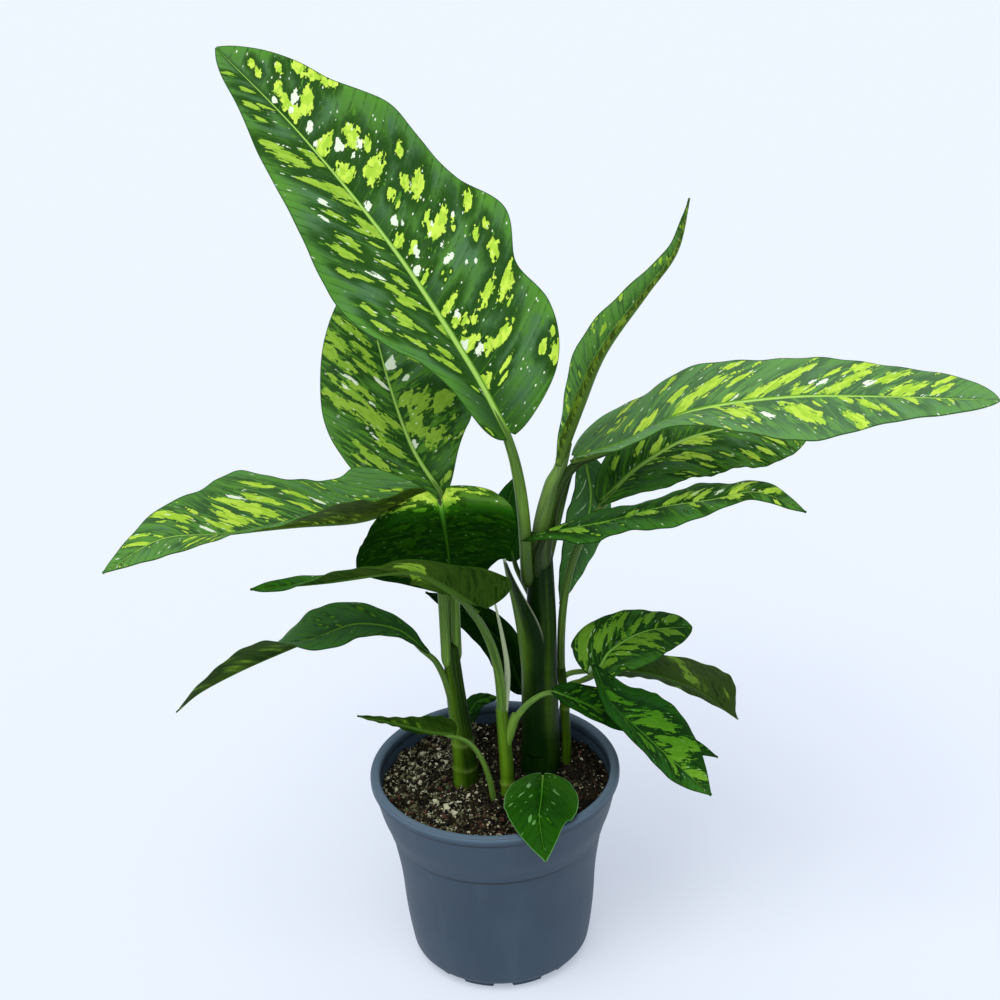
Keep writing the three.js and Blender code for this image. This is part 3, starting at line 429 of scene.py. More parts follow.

# %% [markdown]
# Each leaf is written down once, in millimetres and degrees. Its blade: rib, the points of the midrib
# from joint to tip; face, where its upper side looks along it; half, its half width; outline, how full
# its base and its tip are; lobe, how far the base reaches back; wide_left and wide_right, how each half
# departs from that outline; left_rise and right_rise, how steeply it is raised; keel, how folded the leaf
# is at the rib; ripple, the height and number of the margin's waves; slant, how far the laterals lean
# forward on each half. Its stalk: foot, where it begins; start, which way it leaves; bend, how far it
# turns to the rib; stalk, its radii.
#
# The rest is how it looks. A splash or a fleck is an ellipse: lateral vein, distance from the rib, half
# height, half length. scatter is the number and size of the small splashes, and glow how much painted
# light turns the splashes of each half from olive to yellow. mottle is the amount of mid-green blotches,
# and rib_looks how wide the pale rib is painted. sheen says how much a painted sheen greys a blade, warm
# how olive it is, and bright how much painted light from behind lightens its underside; near 1 it also
# makes the margin pale. shade is how much painted shade darkens the blade from joint to tip, and dull
# picks the dull skin. pale says how pale the stalk is, and stalk_shade how much painted shade darkens it,
# from foot to blade.

# %% The leaves
LEAVES = {
    "leaf_top": dict(
        rib=[(16, 0, 395), (-6, 8, 440), (-49, 28, 509), (-101, 50, 575), (-152, 72, 627)],
        face=[(0, -0.75, 0.65), (0.25, -0.8, 0.5)],
        foot=(26.5, 12, 285), start=(-0.02, -0.1, 1), bend=0.6, stalk=[4.4, 4.2, 3.8, 3],
        half=56, lobe=0.015, outline=[0.5, 0.75], keel=12, ripple=[3, 3.2], slant=(1.5, 0.4),
        wide_left=[0.62, 0.52, 0.55, 0.75, 0.9, 0.9, 0.85, 0.8, 0.78, 0.72, 0.9],
        wide_right=[1, 1.3, 1.3, 1.1, 1.33, 1.15, 1.17, 1.26, 1.13, 1.25, 1.25],
        left_rise=[35, 35, 15, 8, 10, 8, 5], right_rise=[15, 5, -5, 0, 0],
        left_splashes=[
            (22.8, 17, 1, 6), (23.7, 20, 0.4, 3.5), (24, 5, 0.6, 3), (23.2, 4, 0.3, 3),
            (20.3, 14, 0.5, 6), (20.4, 6, 0.8, 6), (19.3, 5, 0.25, 7), (16.9, 19, 0.4, 4),
            (17.3, 5, 0.9, 4.5), (16.3, 11, 0.25, 5), (12.6, 28, 0.65, 6), (14.2, 22, 0.65, 4),
            (10, 36, 0.4, 2.5), (10.3, 29, 0.3, 5), (10.6, 17, 0.5, 4), (12, 10, 0.45, 3.5),
            (10, 10, 0.35, 7), (9.6, 15, 0.5, 3.5), (13.4, 10, 0.22, 4.5), (6.5, 37, 0.5, 2.5),
            (4.9, 37, 0.6, 3), (7.2, 22, 0.7, 3.5), (6.9, 17, 0.3, 3), (4.9, 25, 0.4, 5),
            (4, 20, 0.45, 2), (5.4, 12, 0.45, 3), (4.1, 15, 0.5, 4), (8.4, 3, 0.5, 3),
            (31.8, 7, 0.25, 3.5), (30.2, 6, 0.3, 3), (28.2, 11, 0.5, 2.5), (26.7, 13, 0.4, 2),
            (28.6, 5, 0.2, 3), (2.8, 8, 0.2, 2), (15.3, 9, 0.2, 3)],
        right_splashes=[
            (28.4, 29, 0.6, 4), (27.3, 33, 0.7, 4), (26.3, 36, 0.6, 4), (25.5, 38, 0.35, 3),
            (27, 17, 0.65, 8), (29.3, 9, 0.5, 4), (28.4, 7, 0.5, 4), (27.5, 7, 0.6, 4),
            (29.9, 19, 0.4, 3), (32, 9, 0.3, 2.5), (31.3, 8, 0.3, 2.5), (24.5, 5, 0.5, 5),
            (24.2, 10, 0.35, 6), (22.6, 23, 0.6, 6), (23.3, 23, 0.3, 4), (21.4, 27, 0.4, 4),
            (20, 22, 0.6, 9), (20.4, 17, 0.5, 4), (18.8, 42, 0.4, 4), (22, 4, 0.75, 6), (21.6, 9, 0.3, 4),
            (18, 20, 0.35, 3.5), (16.4, 38, 0.65, 7.5), (17.4, 32, 0.5, 4.5), (17.2, 20, 0.15, 4),
            (14.7, 29, 0.2, 5), (13.5, 33, 0.5, 11), (13.9, 27, 0.5, 4), (14.6, 10, 0.3, 4),
            (15.8, 5, 0.4, 6), (12, 58, 0.4, 5), (10.1, 57, 0.35, 3), (10.6, 48, 0.3, 3.5),
            (8.7, 52, 0.6, 5), (12.6, 6, 0.2, 7), (9.8, 9, 0.35, 8), (8.6, 7, 0.4, 4), (8.1, 12, 0.35, 4),
            (7.5, 17, 0.3, 3), (7.1, 5, 0.7, 4), (6.6, 9, 0.35, 5), (4.9, 27, 0.4, 10),
            (5.4, 17, 0.45, 5), (7.7, 33, 0.45, 9), (6.6, 46, 0.5, 9), (6.9, 53, 0.2, 5),
            (5.7, 42, 0.15, 4), (1.7, 45, 0.3, 4), (0.6, 50, 0.5, 5), (1.5, 55, 0.25, 2.5),
            (3.9, 4, 0.5, 5), (3.5, 21, 0.15, 7), (3, 13, 0.12, 6)],
        left_flecks=[(11.3, 20, 0.3, 3.5), (18.2, 19, 0.35, 2.5), (16, 25, 0.3, 2), (24, 14, 0.15, 2.5)],
        right_flecks=[
            (21.9, 24, 0.35, 2.5), (16.8, 11, 0.35, 3.5), (19.2, 4, 0.3, 2.5), (14.2, 11, 0.35, 2.5),
            (11.8, 23, 0.25, 3), (11.6, 27, 0.2, 2), (13.4, 4, 0.3, 3), (5.9, 10, 0.4, 3),
            (26, 7, 0.3, 3), (25, 3, 0.2, 2), (27.9, 13, 0.35, 4), (29.3, 3, 0.25, 2), (27.8, 6, 0.25, 2),
            (23.4, 12, 0.25, 3), (23.6, 15, 0.2, 2), (23.1, 14, 0.2, 2), (22, 17, 0.15, 2),
            (9.7, 38, 0.15, 1.5), (10.3, 33, 0.15, 1.5), (12.8, 44, 0.15, 1.5), (12.7, 26, 0.2, 2),
            (16.2, 14, 0.15, 1.5), (14.1, 29, 0.15, 1.5), (13.9, 24, 0.12, 1.5), (8.9, 10, 0.3, 2),
            (7, 4, 0.3, 3)],
        scatter=(0.2, 0.4), glow=(0.45, 1), mottle=0.2, stalk_shade=[0.85, 0.3, 0, 0, 0],
    ),
    "leaf_behind": dict(
        rib=[(-29.5, 35, 339.5), (-46, 60, 358), (-59, 90, 385.5), (-70, 125, 418), (-78, 150, 451.5)],
        face=[(0.1, -0.8, 0.6)],
        foot=(-22, 2, 236), bend=0.5, stalk=[3.4, 3.2, 3, 2.6],
        half=55, lobe=0.04, outline=[0.5, 0.85], ripple=[2, 2.5], slant=(1.1, 0.3),
        wide_left=[0.8, 0.82, 0.9, 0.92, 1, 1.1],
        wide_right=[0.35, 0.7, 0.9, 0.95, 1, 1, 1],
        left_rise=[20, 10, 5, 5, 5], right_rise=[20, 10, 5, 5, 5],
        left_splashes=[
            (13, 18, 0.5, 7), (12.7, 11, 0.3, 5), (10.7, 27, 0.7, 8), (11.2, 33, 0.4, 5),
            (8.9, 33, 0.8, 5), (8.5, 27, 0.4, 5), (11.6, 13, 0.3, 6), (10.9, 9, 0.35, 4),
            (9.8, 12, 0.35, 8), (8.9, 23, 0.4, 4), (4.5, 37, 0.7, 7), (7.2, 21, 0.4, 8),
            (6.2, 26, 0.6, 6), (4.8, 20, 0.85, 10), (5.8, 8, 0.4, 6), (5.9, 19, 0.2, 3),
            (6.5, 36, 0.35, 3), (3.5, 18, 0.35, 3), (2.6, 14, 0.5, 8), (1, 32, 0.3, 5),
            (0.4, 29, 0.45, 7), (-0.4, 36, 0.25, 5), (-0.5, 24, 0.35, 6)],
        right_splashes=[
            (10.2, 6, 0.25, 6), (8, 8, 0.5, 6), (7.2, 16, 0.7, 8), (5.7, 30, 0.8, 8), (6.4, 14, 0.45, 10),
            (5.6, 8, 0.8, 7), (4.5, 11, 0.4, 5), (3.4, 17, 0.75, 8), (2.3, 23, 0.3, 3), (1.6, 33, 0.2, 6),
            (3.7, 33, 0.2, 4), (0, 9, 0.2, 5)],
        left_flecks=[
            (9.4, 5, 0.25, 5), (7.6, 25, 0.2, 6), (6.4, 29, 0.15, 3), (2.9, 22, 0.3, 2),
            (6.4, 16, 0.15, 2.5)],
        right_flecks=[(11.4, 5, 0.5, 4), (9.5, 12, 0.25, 3), (4.2, 2, 0.4, 3)],
        scatter=(0.2, 0.5), glow=(0.35, 0.35), mottle=0.7, rib_looks=0.75, shade=[0.15, 0.1, 0, 0],
    ),
    "leaf_left_long": dict(
        rib=[
            (-44, 8, 346), (-77, -5, 340), (-119, -18, 344), (-165, -28, 345), (-202, -36, 347),
            (-239, -44, 329)],
        face=[(0, 0.1, 1), (0, -0.15, 1), (0, -0.4, 0.9)],
        foot=(-27, 6, 238), bend=0.5, stalk=[3, 2.8, 2.6, 2.3],
        half=41, keel=8, ripple=[3, 3], slant=(1.1, 1.7),
        wide_left=[0.6, 0.9, 1, 1, 1, 1, 1, 1],
        wide_right=[0.85, 1.15, 0.85, 0.8, 1.3, 1, 0.9, 1.2],
        left_rise=[60, 48, 44, 42, 36, 28, 15, 10], right_rise=[30, 35, 30, 25, 20, 10],
        left_splashes=[(14.6, 17, 0.4, 4), (16, 10, 0.4, 4)],
        right_splashes=[
            (7.3, 22, 0.6, 6), (9.3, 21, 0.7, 5), (9.3, 14, 0.9, 8), (11.9, 10, 0.8, 6),
            (11.2, 18, 0.3, 4), (13.8, 5, 0.5, 5), (5.1, 33, 0.5, 5), (4.7, 20, 0.4, 4.5),
            (6.1, 11, 0.35, 6), (15.6, 13, 0.7, 5), (19, 9, 0.4, 3), (20.3, 3, 0.3, 4)],
        right_flecks=[(4.3, 15, 0.25, 3), (3, 12, 0.2, 3), (15.2, 4, 0.3, 3), (8.4, 25, 0.3, 3)],
        scatter=(1.3, 0.45), mottle=0.8, frost=0.1, bright=0.25, dull=True, shade=[0.2, 0.15, 0.1, 0.05],
    ),
    "leaf_front_dark": dict(
        rib=[
            (-27.5, -12, 354.5), (-25, -30, 345), (-23, -44, 336), (-22, -52, 326.5),
            (-19.5, -52, 307.5)],
        face=[(0, -0.75, 0.6), (0, -0.9, 0.4), (0, -1, 0.1)],
        foot=(-29, -4, 236), bend=0.4, stalk=[3.4, 3.2, 2.8, 2.4],
        half=50, lobe=0.16, outline=[0.4, 0.6], ripple=[2, 3], slant=(0.05, -0.2),
        wide_left=[1.05, 1, 0.95, 0.93, 0.9, 0.88, 0.8, 0.6],
        wide_right=[1.15, 1.1, 1.08, 1.12, 1.22, 1.3, 1.35, 1.25, 0.8],
        left_rise=[-5, -10, -10, -10], right_rise=[-14, -8, -8, -14],
        left_splashes=[
            (0, 2, 1.1, 3.5), (-0.6, 6, 0.5, 4), (0.1, 6, 0.5, 5), (-0.9, 13, 0.2, 5),
            (-0.55, 22, 0.15, 7), (-1.2, 30, 0.25, 5), (4.4, 13, 0.2, 4), (3.2, 20, 0.2, 5),
            (2.4, 12, 0.15, 4), (1.9, 26, 0.2, 5)],
        right_splashes=[
            (-0.2, 2, 1.2, 3.5), (-0.7, 6, 0.5, 3), (0, 6, 0.3, 3), (0.8, 13, 0.15, 5),
            (0.3, 24, 0.22, 8), (0, 37, 0.4, 4), (-0.85, 18, 0.3, 3), (-0.5, 13, 0.35, 6),
            (-0.4, 25, 0.2, 2), (0.55, 46, 0.3, 3), (3.6, 24, 0.4, 6), (4.5, 14, 0.15, 5),
            (4.75, 34, 0.2, 3), (3.9, 36, 0.2, 3), (2.2, 28, 0.25, 6), (2.6, 14, 0.2, 5),
            (5.4, 22, 0.2, 5)],
        scatter=(0.3, 0.5), glow=(0.7, 0.8), mottle=0.8, warm=0.3, dull=True,
        shade=[0.15, 0.7, 0.88, 0.9, 0.9, 0.9, 0.88, 0.88], stalk_shade=[0, 0.1, 0.5, 0.9],
    ),
    "leaf_arching_left": dict(
        rib=[
            (-13, -60, 308.5), (-28.5, -68, 325.5), (-43, -72, 336.5), (-61.5, -68, 334.5),
            (-99, -60, 325.5), (-146.5, -56, 320)],
        face=[
            (0.3, 0.7, 0.6), (0.2, 0.7, 0.7), (0, 0.5, 0.85), (0, 0.5, 0.85), (0, 0.2, 1), (0, -0.3, 1)],
        foot=(6.5, -15.5, 196), bend=0.6, stalk=[3.4, 3.2, 2.8, 2.2],
        half=30, lobe=0.1, ripple=[1, 2],
        wide_left=[2.15, 1.65, 0.8, 0.55, 0.8, 1, 1],
        wide_right=[0.1, 0.25, 0.6, 0.8, 1, 1],
        left_rise=[20, 15, 12, 18, 15, 5], right_rise=[-30, -20, -5, 10, 10, 10],
        left_splashes=[(4.8, 4, 0.7, 5), (4, 10, 0.5, 3)],
        right_splashes=[(4.6, 6, 0.5, 5), (3.8, 10, 0.6, 4)],
        scatter=(0, 0.8), glow=(0.8, 0.8), mottle=0.9, dull=True, shade=[0.35, 0.3, 0.3, 0.4, 0.45],
        stalk_shade=[0, 0.1, 0.4, 0.5],
    ),
    "leaf_low_left": dict(
        rib=[
            (-42, -8, 243), (-59, -14, 263), (-84, -20, 272), (-105, -26, 269), (-130, -30, 261),
            (-161, -36, 250), (-188, -40, 237), (-204, -42, 224)],
        face=[(-0.2, -0.2, 1), (0, -0.4, 0.9), (0, -0.2, 1), (0, 0.5, 0.85), (0, 0.6, 0.8), (0, 0.1, 1)],
        foot=(-25, -2, 184), start=(-0.12, -0.05, 1), bend=0.9, stalk=[2.8, 2.6, 2.2, 1.8],
        half=28, lobe=0.03, ripple=[1.5, 3], slant=(1.2, 1.3),
        wide_left=[0.2, 0.25, 0.45, 0.7, 0.9, 1, 1, 1],
        wide_right=[0.3, 0.35, 0.6, 0.75, 0.9, 1, 1, 1],
        left_rise=[10, 10, 10, 20, 26, 26, 10], right_rise=[10, 10, 10, 20, 26, 20, 10],
        scatter=(1.4, 0.5), glow=(0.3, 0.3), frost=0.15, rib_looks=0.6, shade=[0.5, 0.4, 0.35, 0.3, 0.3],
        stalk_shade=[0.3],
    ),
    "leaf_rim_left": dict(
        rib=[(-27, -24, 187), (-43, -28, 193), (-64, -32, 203), (-88, -36, 212)],
        face=[(0, 0.85, 0.5)],
        foot=(0, -22, 108), start=(-0.05, 0, 1), bend=0.9, stalk=[2.2, 2.1, 1.8, 1.4],
        half=14, lobe=0.03, ripple=[0.5, 2],
        wide_left=[1.6, 1.3, 0.7, 0.5, 0.5],
        wide_right=[0.3, 0.4, 0.5, 0.5, 0.5],
        left_rise=[15], right_rise=[10],
        scatter=(0.4, 0.4), dull=True, shade=[0.35],
    ),
    "leaf_rim_front": dict(
        rib=[(32, -26, 153), (30, -55, 155), (28, -80, 156), (31, -97, 135)],
        face=[(0, -0.2, 1), (0, -1, 0.5)],
        foot=(24, -14, 112), start=(0.1, -0.1, 1), bend=0.6, stalk=[2.4, 2.3, 2, 1.6],
        half=25, ripple=[0.7, 2],
        left_rise=[0, -10, -10], right_rise=[0, -10, -10],
        left_flecks=[(1.4, 9, 0.15, 3), (3, 8, 0.15, 1.5), (4.6, 5, 0.2, 1)],
        right_flecks=[
            (1.6, 20, 0.25, 1.5), (5.5, 6, 0.25, 1.5), (1.1, 13.5, 0.15, 2), (3, 9.5, 0.15, 1.2),
            (6.2, 4, 0.15, 1.2), (0.6, 9, 0.3, 1.5), (2.3, 7, 0.2, 1.2)],
        scatter=(0.3, 0.5), glow=(0.3, 0.3), mottle=0.6, warm=0.25, bright=1, rib_looks=0.5, dull=True,
        shade=[0.45, 0.6, 0.55, 0.5],
    ),
    "leaf_low_right_back": dict(
        rib=[(43, -10, 208), (72, -8, 192), (106, -5, 174), (152, 0, 145)],
        face=[(0, -0.5, 1), (0, -0.3, 1)],
        foot=(14, -17, 190), start=(0.4, 0, 1), bend=0.8, stalk=[2.4, 2.2, 1.9, 1.6],
        half=16, lobe=0.03, ripple=[1, 2],
        left_rise=[10], right_rise=[25, 25, 15],
        shade=[0.6],
    ),
    "leaf_low_right_front": dict(
        rib=[(70, 0, 217), (79, -16, 201), (99, -34, 188), (142, -52, 150)],
        face=[(0.3, -0.5, 1), (0.2, -0.7, 0.7)],
        foot=(49, 25, 176), bend=0.4, stalk=[2, 1.9, 1.7, 1.5],
        half=32, ripple=[1.5, 2],
        wide_left=[0.3, 0.65, 0.95, 0.95, 1.1, 1.2, 1.2, 1],
        wide_right=[0.7, 0.72, 0.78, 0.7],
        left_rise=[-10, 0, 0, 0], right_rise=[55, 55, 50, 45, 35, 20, 10],
        left_splashes=[
            (5, 13, 1, 7), (4, 16, 0.6, 4), (7.4, 13, 0.8, 10), (7, 8, 0.6, 5), (7.8, 18, 0.5, 4),
            (8.7, 6, 0.7, 6), (11, 4, 0.8, 5), (1.8, 4, 0.5, 4), (2.4, 8, 0.35, 5), (3.4, 8, 0.15, 5),
            (4.2, 7, 0.2, 5), (5, 4, 0.2, 4), (9.1, 3, 0.5, 3)],
        right_splashes=[(5, 12, 0.6, 3), (6, 10, 0.4, 3), (9, 4, 0.5, 4)],
        scatter=(0.3, 0.5), glow=(0.6, 0.6), shade=[0.6, 0.5, 0.35],
    ),
    "leaf_right_small": dict(
        rib=[(72.5, 11, 212.5), (82.5, 19, 222.5), (106.5, 31, 228.5), (138, 41, 224.5)],
        face=[(0.1, -0.6, 0.8), (0.1, -0.4, 1)],
        foot=(49, 24, 186), bend=0.5, stalk=[2, 1.9, 1.7, 1.5],
        half=26, lobe=0.1, outline=[0.45, 0.6], ripple=[1, 2],
        wide_left=[1.4, 1.2, 0.95, 0.8, 0.75, 0.7, 0.8, 1],
        wide_right=[0.6, 0.75, 0.85, 0.9, 0.95, 0.9, 0.85, 0.8],
        left_rise=[20, 10, 5, 0], right_rise=[15, 10, 5, 0],
        left_splashes=[
            (2, 13, 0.35, 6), (1.3, 11, 0.3, 6), (4.5, 10, 0.35, 5), (3.8, 7, 0.3, 4), (6.5, 7, 0.6, 4),
            (0.5, 10, 0.3, 6), (0, 13, 0.3, 5), (-1.5, 18, 0.8, 8)],
        right_splashes=[
            (4.4, 4, 0.7, 7), (3.1, 5, 0.5, 6), (3.2, 13, 0.35, 7), (6.5, 3, 0.8, 5), (1.2, 6, 0.3, 6),
            (2, 2.5, 0.3, 4), (2.1, 8, 0.3, 6), (0.2, 3, 0.4, 6)],
        left_flecks=[(-1, 4, 0.4, 2.5)],
        scatter=(1, 0.6), glow=(0.3, 0.3), shade=[0.35, 0.35],
    ),
    "leaf_right_olive": dict(
        rib=[(86.5, 40, 195.5), (111.5, 46, 185.5), (143.5, 54, 166.5), (172.5, 56, 139)],
        face=[(0.2, 0.8, 0.6), (0.6, 0.6, 0.4)],
        foot=(48.5, 25.5, 194), bend=0.6, stalk=[2, 1.9, 1.7, 1.5],
        half=31, keel=6, ripple=[1, 2], slant=(1.1, -1.2),
        wide_left=[1.1],
        wide_right=[1.1, 1.5, 1.8, 1.8, 1.5, 1],
        left_rise=[10], right_rise=[0],
        right_splashes=[(7.8, 13, 0.8, 6), (7.8, 27, 0.4, 9), (7.9, 40, 0.6, 6)],
        scatter=(0.4, 0.7), glow=(0.6, 0.6), mottle=1.1, warm=0.85, dull=True, shade=[0.45, 0.3, 0.25],
    ),
    "leaf_right_long": dict(
        rib=[
            (61, 0, 375), (90, -8, 388), (130, -18, 412), (185, -26, 423), (244, -30, 423),
            (317, -34, 419)],
        face=[(0, -0.2, 1), (0, -0.35, 1), (0, -0.45, 1)],
        foot=(38, 15, 290), start=(0.1, -0.1, 1), bend=0.5, stalk=[4, 3.6, 3.3, 3],
        half=40, lobe=0.02, outline=[0.5, 0.6], ripple=[2, 3], slant=(1.4, 0.9),
        wide_left=[1.7, 1.3, 0.85, 0.82, 0.78, 0.72, 0.72, 0.8, 0.85, 0.9],
        wide_right=[0.8, 0.8, 0.8, 0.88, 0.9, 0.75, 0.6, 0.55],
        left_rise=[10, 15, 20, 15, 10, 10], right_rise=[35, 30, 34, 12, 0, 0, 5, 8],
        left_splashes=[
            (-0.3, 29, 0.5, 5), (5, 6, 0.8, 4), (8.2, 6, 0.6, 8), (6.5, 14, 0.5, 4), (4.2, 24, 0.3, 4),
            (8.8, 14, 0.9, 7), (8.2, 27, 0.5, 3), (10.6, 16, 0.4, 4), (11.8, 4, 0.4, 3),
            (13.6, 4, 0.5, 5), (14.4, 9, 0.6, 7), (14.8, 15, 0.5, 7), (16.9, 4, 0.6, 4),
            (19.3, 6, 0.8, 6), (19.2, 13, 0.6, 6), (17.2, 15, 0.3, 5), (18.4, 21, 0.7, 6),
            (21.6, 14, 0.7, 7), (24.2, 5, 0.9, 6), (25.8, 14, 0.35, 6), (26.7, 6, 0.4, 4)],
        right_splashes=[
            (11.6, 15, 0.9, 7), (12.7, 5, 0.4, 6), (15.8, 15, 1, 8), (16.3, 19, 0.5, 5),
            (19.1, 19, 0.6, 5), (18.8, 25, 0.4, 3), (21.3, 9, 0.5, 6), (22.2, 13, 0.3, 5),
            (20.3, 3, 0.3, 6), (11, 3, 0.25, 6), (25, 2, 0.4, 5)],
        left_flecks=[(20.9, 9, 0.4, 2), (16.8, 9, 0.2, 2), (12.3, 4, 0.2, 2), (17.6, 9, 0.3, 2)],
        right_flecks=[(13.2, 17, 0.4, 2.5)],
        scatter=(1.1, 0.5), mottle=0.7, frost=0.2, shade=[0.15, 0, 0], stalk_shade=[0.75],
    ),
    "leaf_right_second": dict(
        rib=[(80, 14, 340), (102, 28, 354), (136, 45, 365), (178, 62, 364), (223, 78, 353)],
        face=[(0, -0.4, 1), (0, -0.5, 1)],
        foot=(47.7, 26.3, 200), bend=0.8, stalk=[2.7, 2.7, 2.6, 2.4],
        half=40, ripple=[2, 4], slant=(1.2, 1.3),
        wide_left=[0.6, 0.7],
        wide_right=[0.3, 0.5, 0.7, 0.75, 0.85, 1, 1.3, 1.6, 1.6],
        left_rise=[20, 10, 10, 10], right_rise=[10, 5, -5, 0, 5],
        left_splashes=[(2.9, 11, 0.4, 4), (4.9, 4, 0.5, 5), (0.5, 12, 0.3, 3)],
        right_splashes=[
            (8.2, 3, 0.6, 6), (7.4, 2, 0.5, 5), (5.2, 16, 0.45, 6), (4.4, 12, 0.2, 5), (6.7, 22, 0.2, 3),
            (8.4, 24, 0.4, 4.5), (10.1, 23, 0.4, 4), (12.6, 14, 0.45, 6), (4.2, 25, 0.25, 3.5),
            (3.9, 14, 0.12, 4)],
        scatter=(0.9, 0.45), mottle=0.7, shade=[0.3, 0.1, 0], stalk_shade=[0.4],
    ),
    "leaf_right_narrow": dict(
        rib=[
            (41, 2, 322), (80, -14, 337), (110, -28, 352), (140, -42, 363), (168, -52, 372),
            (197, -60, 361)],
        face=[(0, -0.2, 1), (0, -0.3, 1)],
        foot=(33, 11, 290), start=(0, -0.3, 1), bend=0.5, stalk=[3, 2.8, 2.5, 2.2],
        half=25, lobe=0.12, ripple=[1.5, 3],
        wide_left=[0.6, 0.6, 0.75, 0.65, 0.8, 1, 0.8, 1.1, 1.2],
        wide_right=[0.7, 0.6, 1, 0.95, 1.05, 0.8, 0.65, 1.1],
        left_rise=[-8, -8, -8, -5, 5, 5], right_rise=[5, 10, 10, 5, 0, 10],
        left_splashes=[
            (6.8, 2, 0.5, 3), (0.2, 3, 0.5, 4), (15.4, 4, 0.7, 5), (10.2, 5, 0.7, 5), (11.3, 7, 0.4, 4),
            (12.3, 5, 0.5, 5), (17.8, 4, 0.5, 4)],
        right_splashes=[
            (8.1, 5, 0.9, 5), (6.6, 3, 0.5, 3), (4.3, 3, 0.5, 3), (2, 8, 0.6, 5), (1.2, 4, 0.5, 4),
            (15.2, 2, 0.8, 4), (18.5, 5, 0.3, 3), (12, 3, 0.3, 6)],
        left_flecks=[(11.3, 8, 0.2, 2), (13.8, 5, 0.25, 2)],
        scatter=(0.3, 0.5), rib_looks=0.6, shade=[0.4, 0.35, 0.2, 0.15], stalk_shade=[0.85],
    ),
    "leaf_spear": dict(
        rib=[(47, 4, 368), (63, 2, 411), (78, 0, 447), (103, -2, 484), (122, -4, 512), (130, -6, 546)],
        face=[(-0.9, -0.35, 0.3)],
        foot=(35, 14, 296), start=(0, 0, 1), bend=0.6, stalk=[6, 6, 5.5, 4],
        half=20, lobe=0, ripple=[0.6, 2],
        wide_left=[0.3, 0.5, 0.75, 0.8, 0.72, 0.6, 0.5],
        wide_right=[0.7, 1, 1, 1, 1, 0.8],
        left_rise=[60], right_rise=[48, 48, 45],
        scatter=(1.2, 0.6), glow=(0.5, 0.5), mottle=1, frost=0.1, bright=0.7, pale=0.1,
        stalk_shade=[0.8, 0.2, 0.1],
    ),
    "leaf_back_hanging": dict(
        rib=[(67, 36, 356), (70, 34, 328), (62, 30, 293), (48, 30, 253)],
        face=[(0.5, -0.7, 0.4)],
        foot=(40, 23, 286), start=(0.3, 0.2, 1), bend=0.8, stalk=[2.6, 2.4, 2, 1.6],
        half=17, lobe=0.03, ripple=[1, 2],
        left_rise=[10, 0, 0], right_rise=[10, 0, 0],
        left_flecks=[(2, 6, 0.12, 5), (3.5, 5, 0.1, 5), (5, 5, 0.12, 5), (7, 4, 0.1, 4)],
        right_flecks=[(1, 8, 0.12, 6), (3, 7, 0.1, 5), (4.4, 6, 0.12, 5)],
        scatter=(0, 0.5), frost=0.25, dull=True, shade=[0.35], stalk_shade=[0.5],
    ),
    "leaf_back_dark": dict(
        rib=[(21, 50, 174), (7, 48, 214), (-16, 44, 241), (-42, 40, 260)],
        face=[(0.3, -0.8, 0.6)],
        foot=(30, 20, 146), start=(0, 1, 0.4), bend=0.7, stalk=[2.4, 2.2, 1.9, 1.6],
        half=14, lobe=0.03, ripple=[1, 2],
        left_rise=[10, 0, 0], right_rise=[10, 0, 0],
        scatter=(0, 0.5), dull=True, shade=[0.9], stalk_shade=[0.7],
    ),
    "leaf_back_small": dict(
        rib=[(-19, 24, 166), (-13, 24, 179), (-6, 24, 184), (5, 24, 184)],
        face=[(0, -0.5, 1)],
        foot=(-10, 22, 112), bend=0.7, stalk=[1.6, 1.5, 1.3, 1.1],
        half=7, lobe=0.03, ripple=[0.5, 2],
        left_rise=[10, 0, 0], right_rise=[10, 0, 0],
        shade=[0.7], stalk_shade=[0.6],
    ),
    "leaf_back_centre": dict(
        rib=[(18, 36, 285), (14, 38, 305), (16, 38, 326), (22, 38, 346)],
        face=[(-0.2, -0.9, 0.4)],
        foot=(32, 22, 252), start=(-0.2, 0.6, 1), bend=0.6, stalk=[2.4, 2.2, 1.9, 1.6],
        half=12, lobe=0.03, ripple=[1, 2],
        left_rise=[10, 0, 0], right_rise=[10, 0, 0],
        scatter=(0, 0.5), frost=0.2, dull=True, shade=[0.65], stalk_shade=[0.6],
    ),
}
print(len(LEAVES), "leaves")

# %% [markdown]
# A leaf's midrib is a curve in space. At every place on it there are three directions: forward along it,
# up out of the leaf's face, and right. Everything on the blade is placed with these, so a leaf keeps its
# shape when its midrib bends.

# %% Midrib
RIB_STATIONS = 121


class Midrib:
    """The midrib of a leaf: places and directions by distance from the joint."""

    def __init__(self, leaf):
        """The curve through the rib's points, and how far along it each of its stations lies."""
        self.face = leaf["face"]
        self.points = smooth(leaf["rib"], np.linspace(0, 1, RIB_STATIONS))
        steps = np.linalg.norm(np.diff(self.points, axis=0), axis=1)
        self.reach = np.concatenate([[0], np.cumsum(steps)])
        self.length = self.reach[-1]

    def place(self, distance):
        """The curve's point at a distance, or a point on its straight continuation behind the joint."""
        inside = np.stack([np.interp(distance, self.reach, self.points[:, k]) for k in range(3)], -1)
        return inside + np.minimum(distance, 0)[..., None] * unit(self.points[1] - self.points[0])

    def frame(self, distance):
        """The place, and the forward, up and right directions, at distances along the rib."""
        y = np.clip(distance, 0, self.length)
        half_step = self.length / (RIB_STATIONS - 1)
        ahead = self.place(np.minimum(y + half_step, self.length))
        behind = self.place(np.maximum(y - half_step, 0))
        forward = unit(ahead - behind)
        face = smooth(self.face, y / self.length)
        up = unit(face - (face * forward).sum(-1, keepdims=True) * forward)
        return self.place(distance), forward, up, np.cross(forward, up)


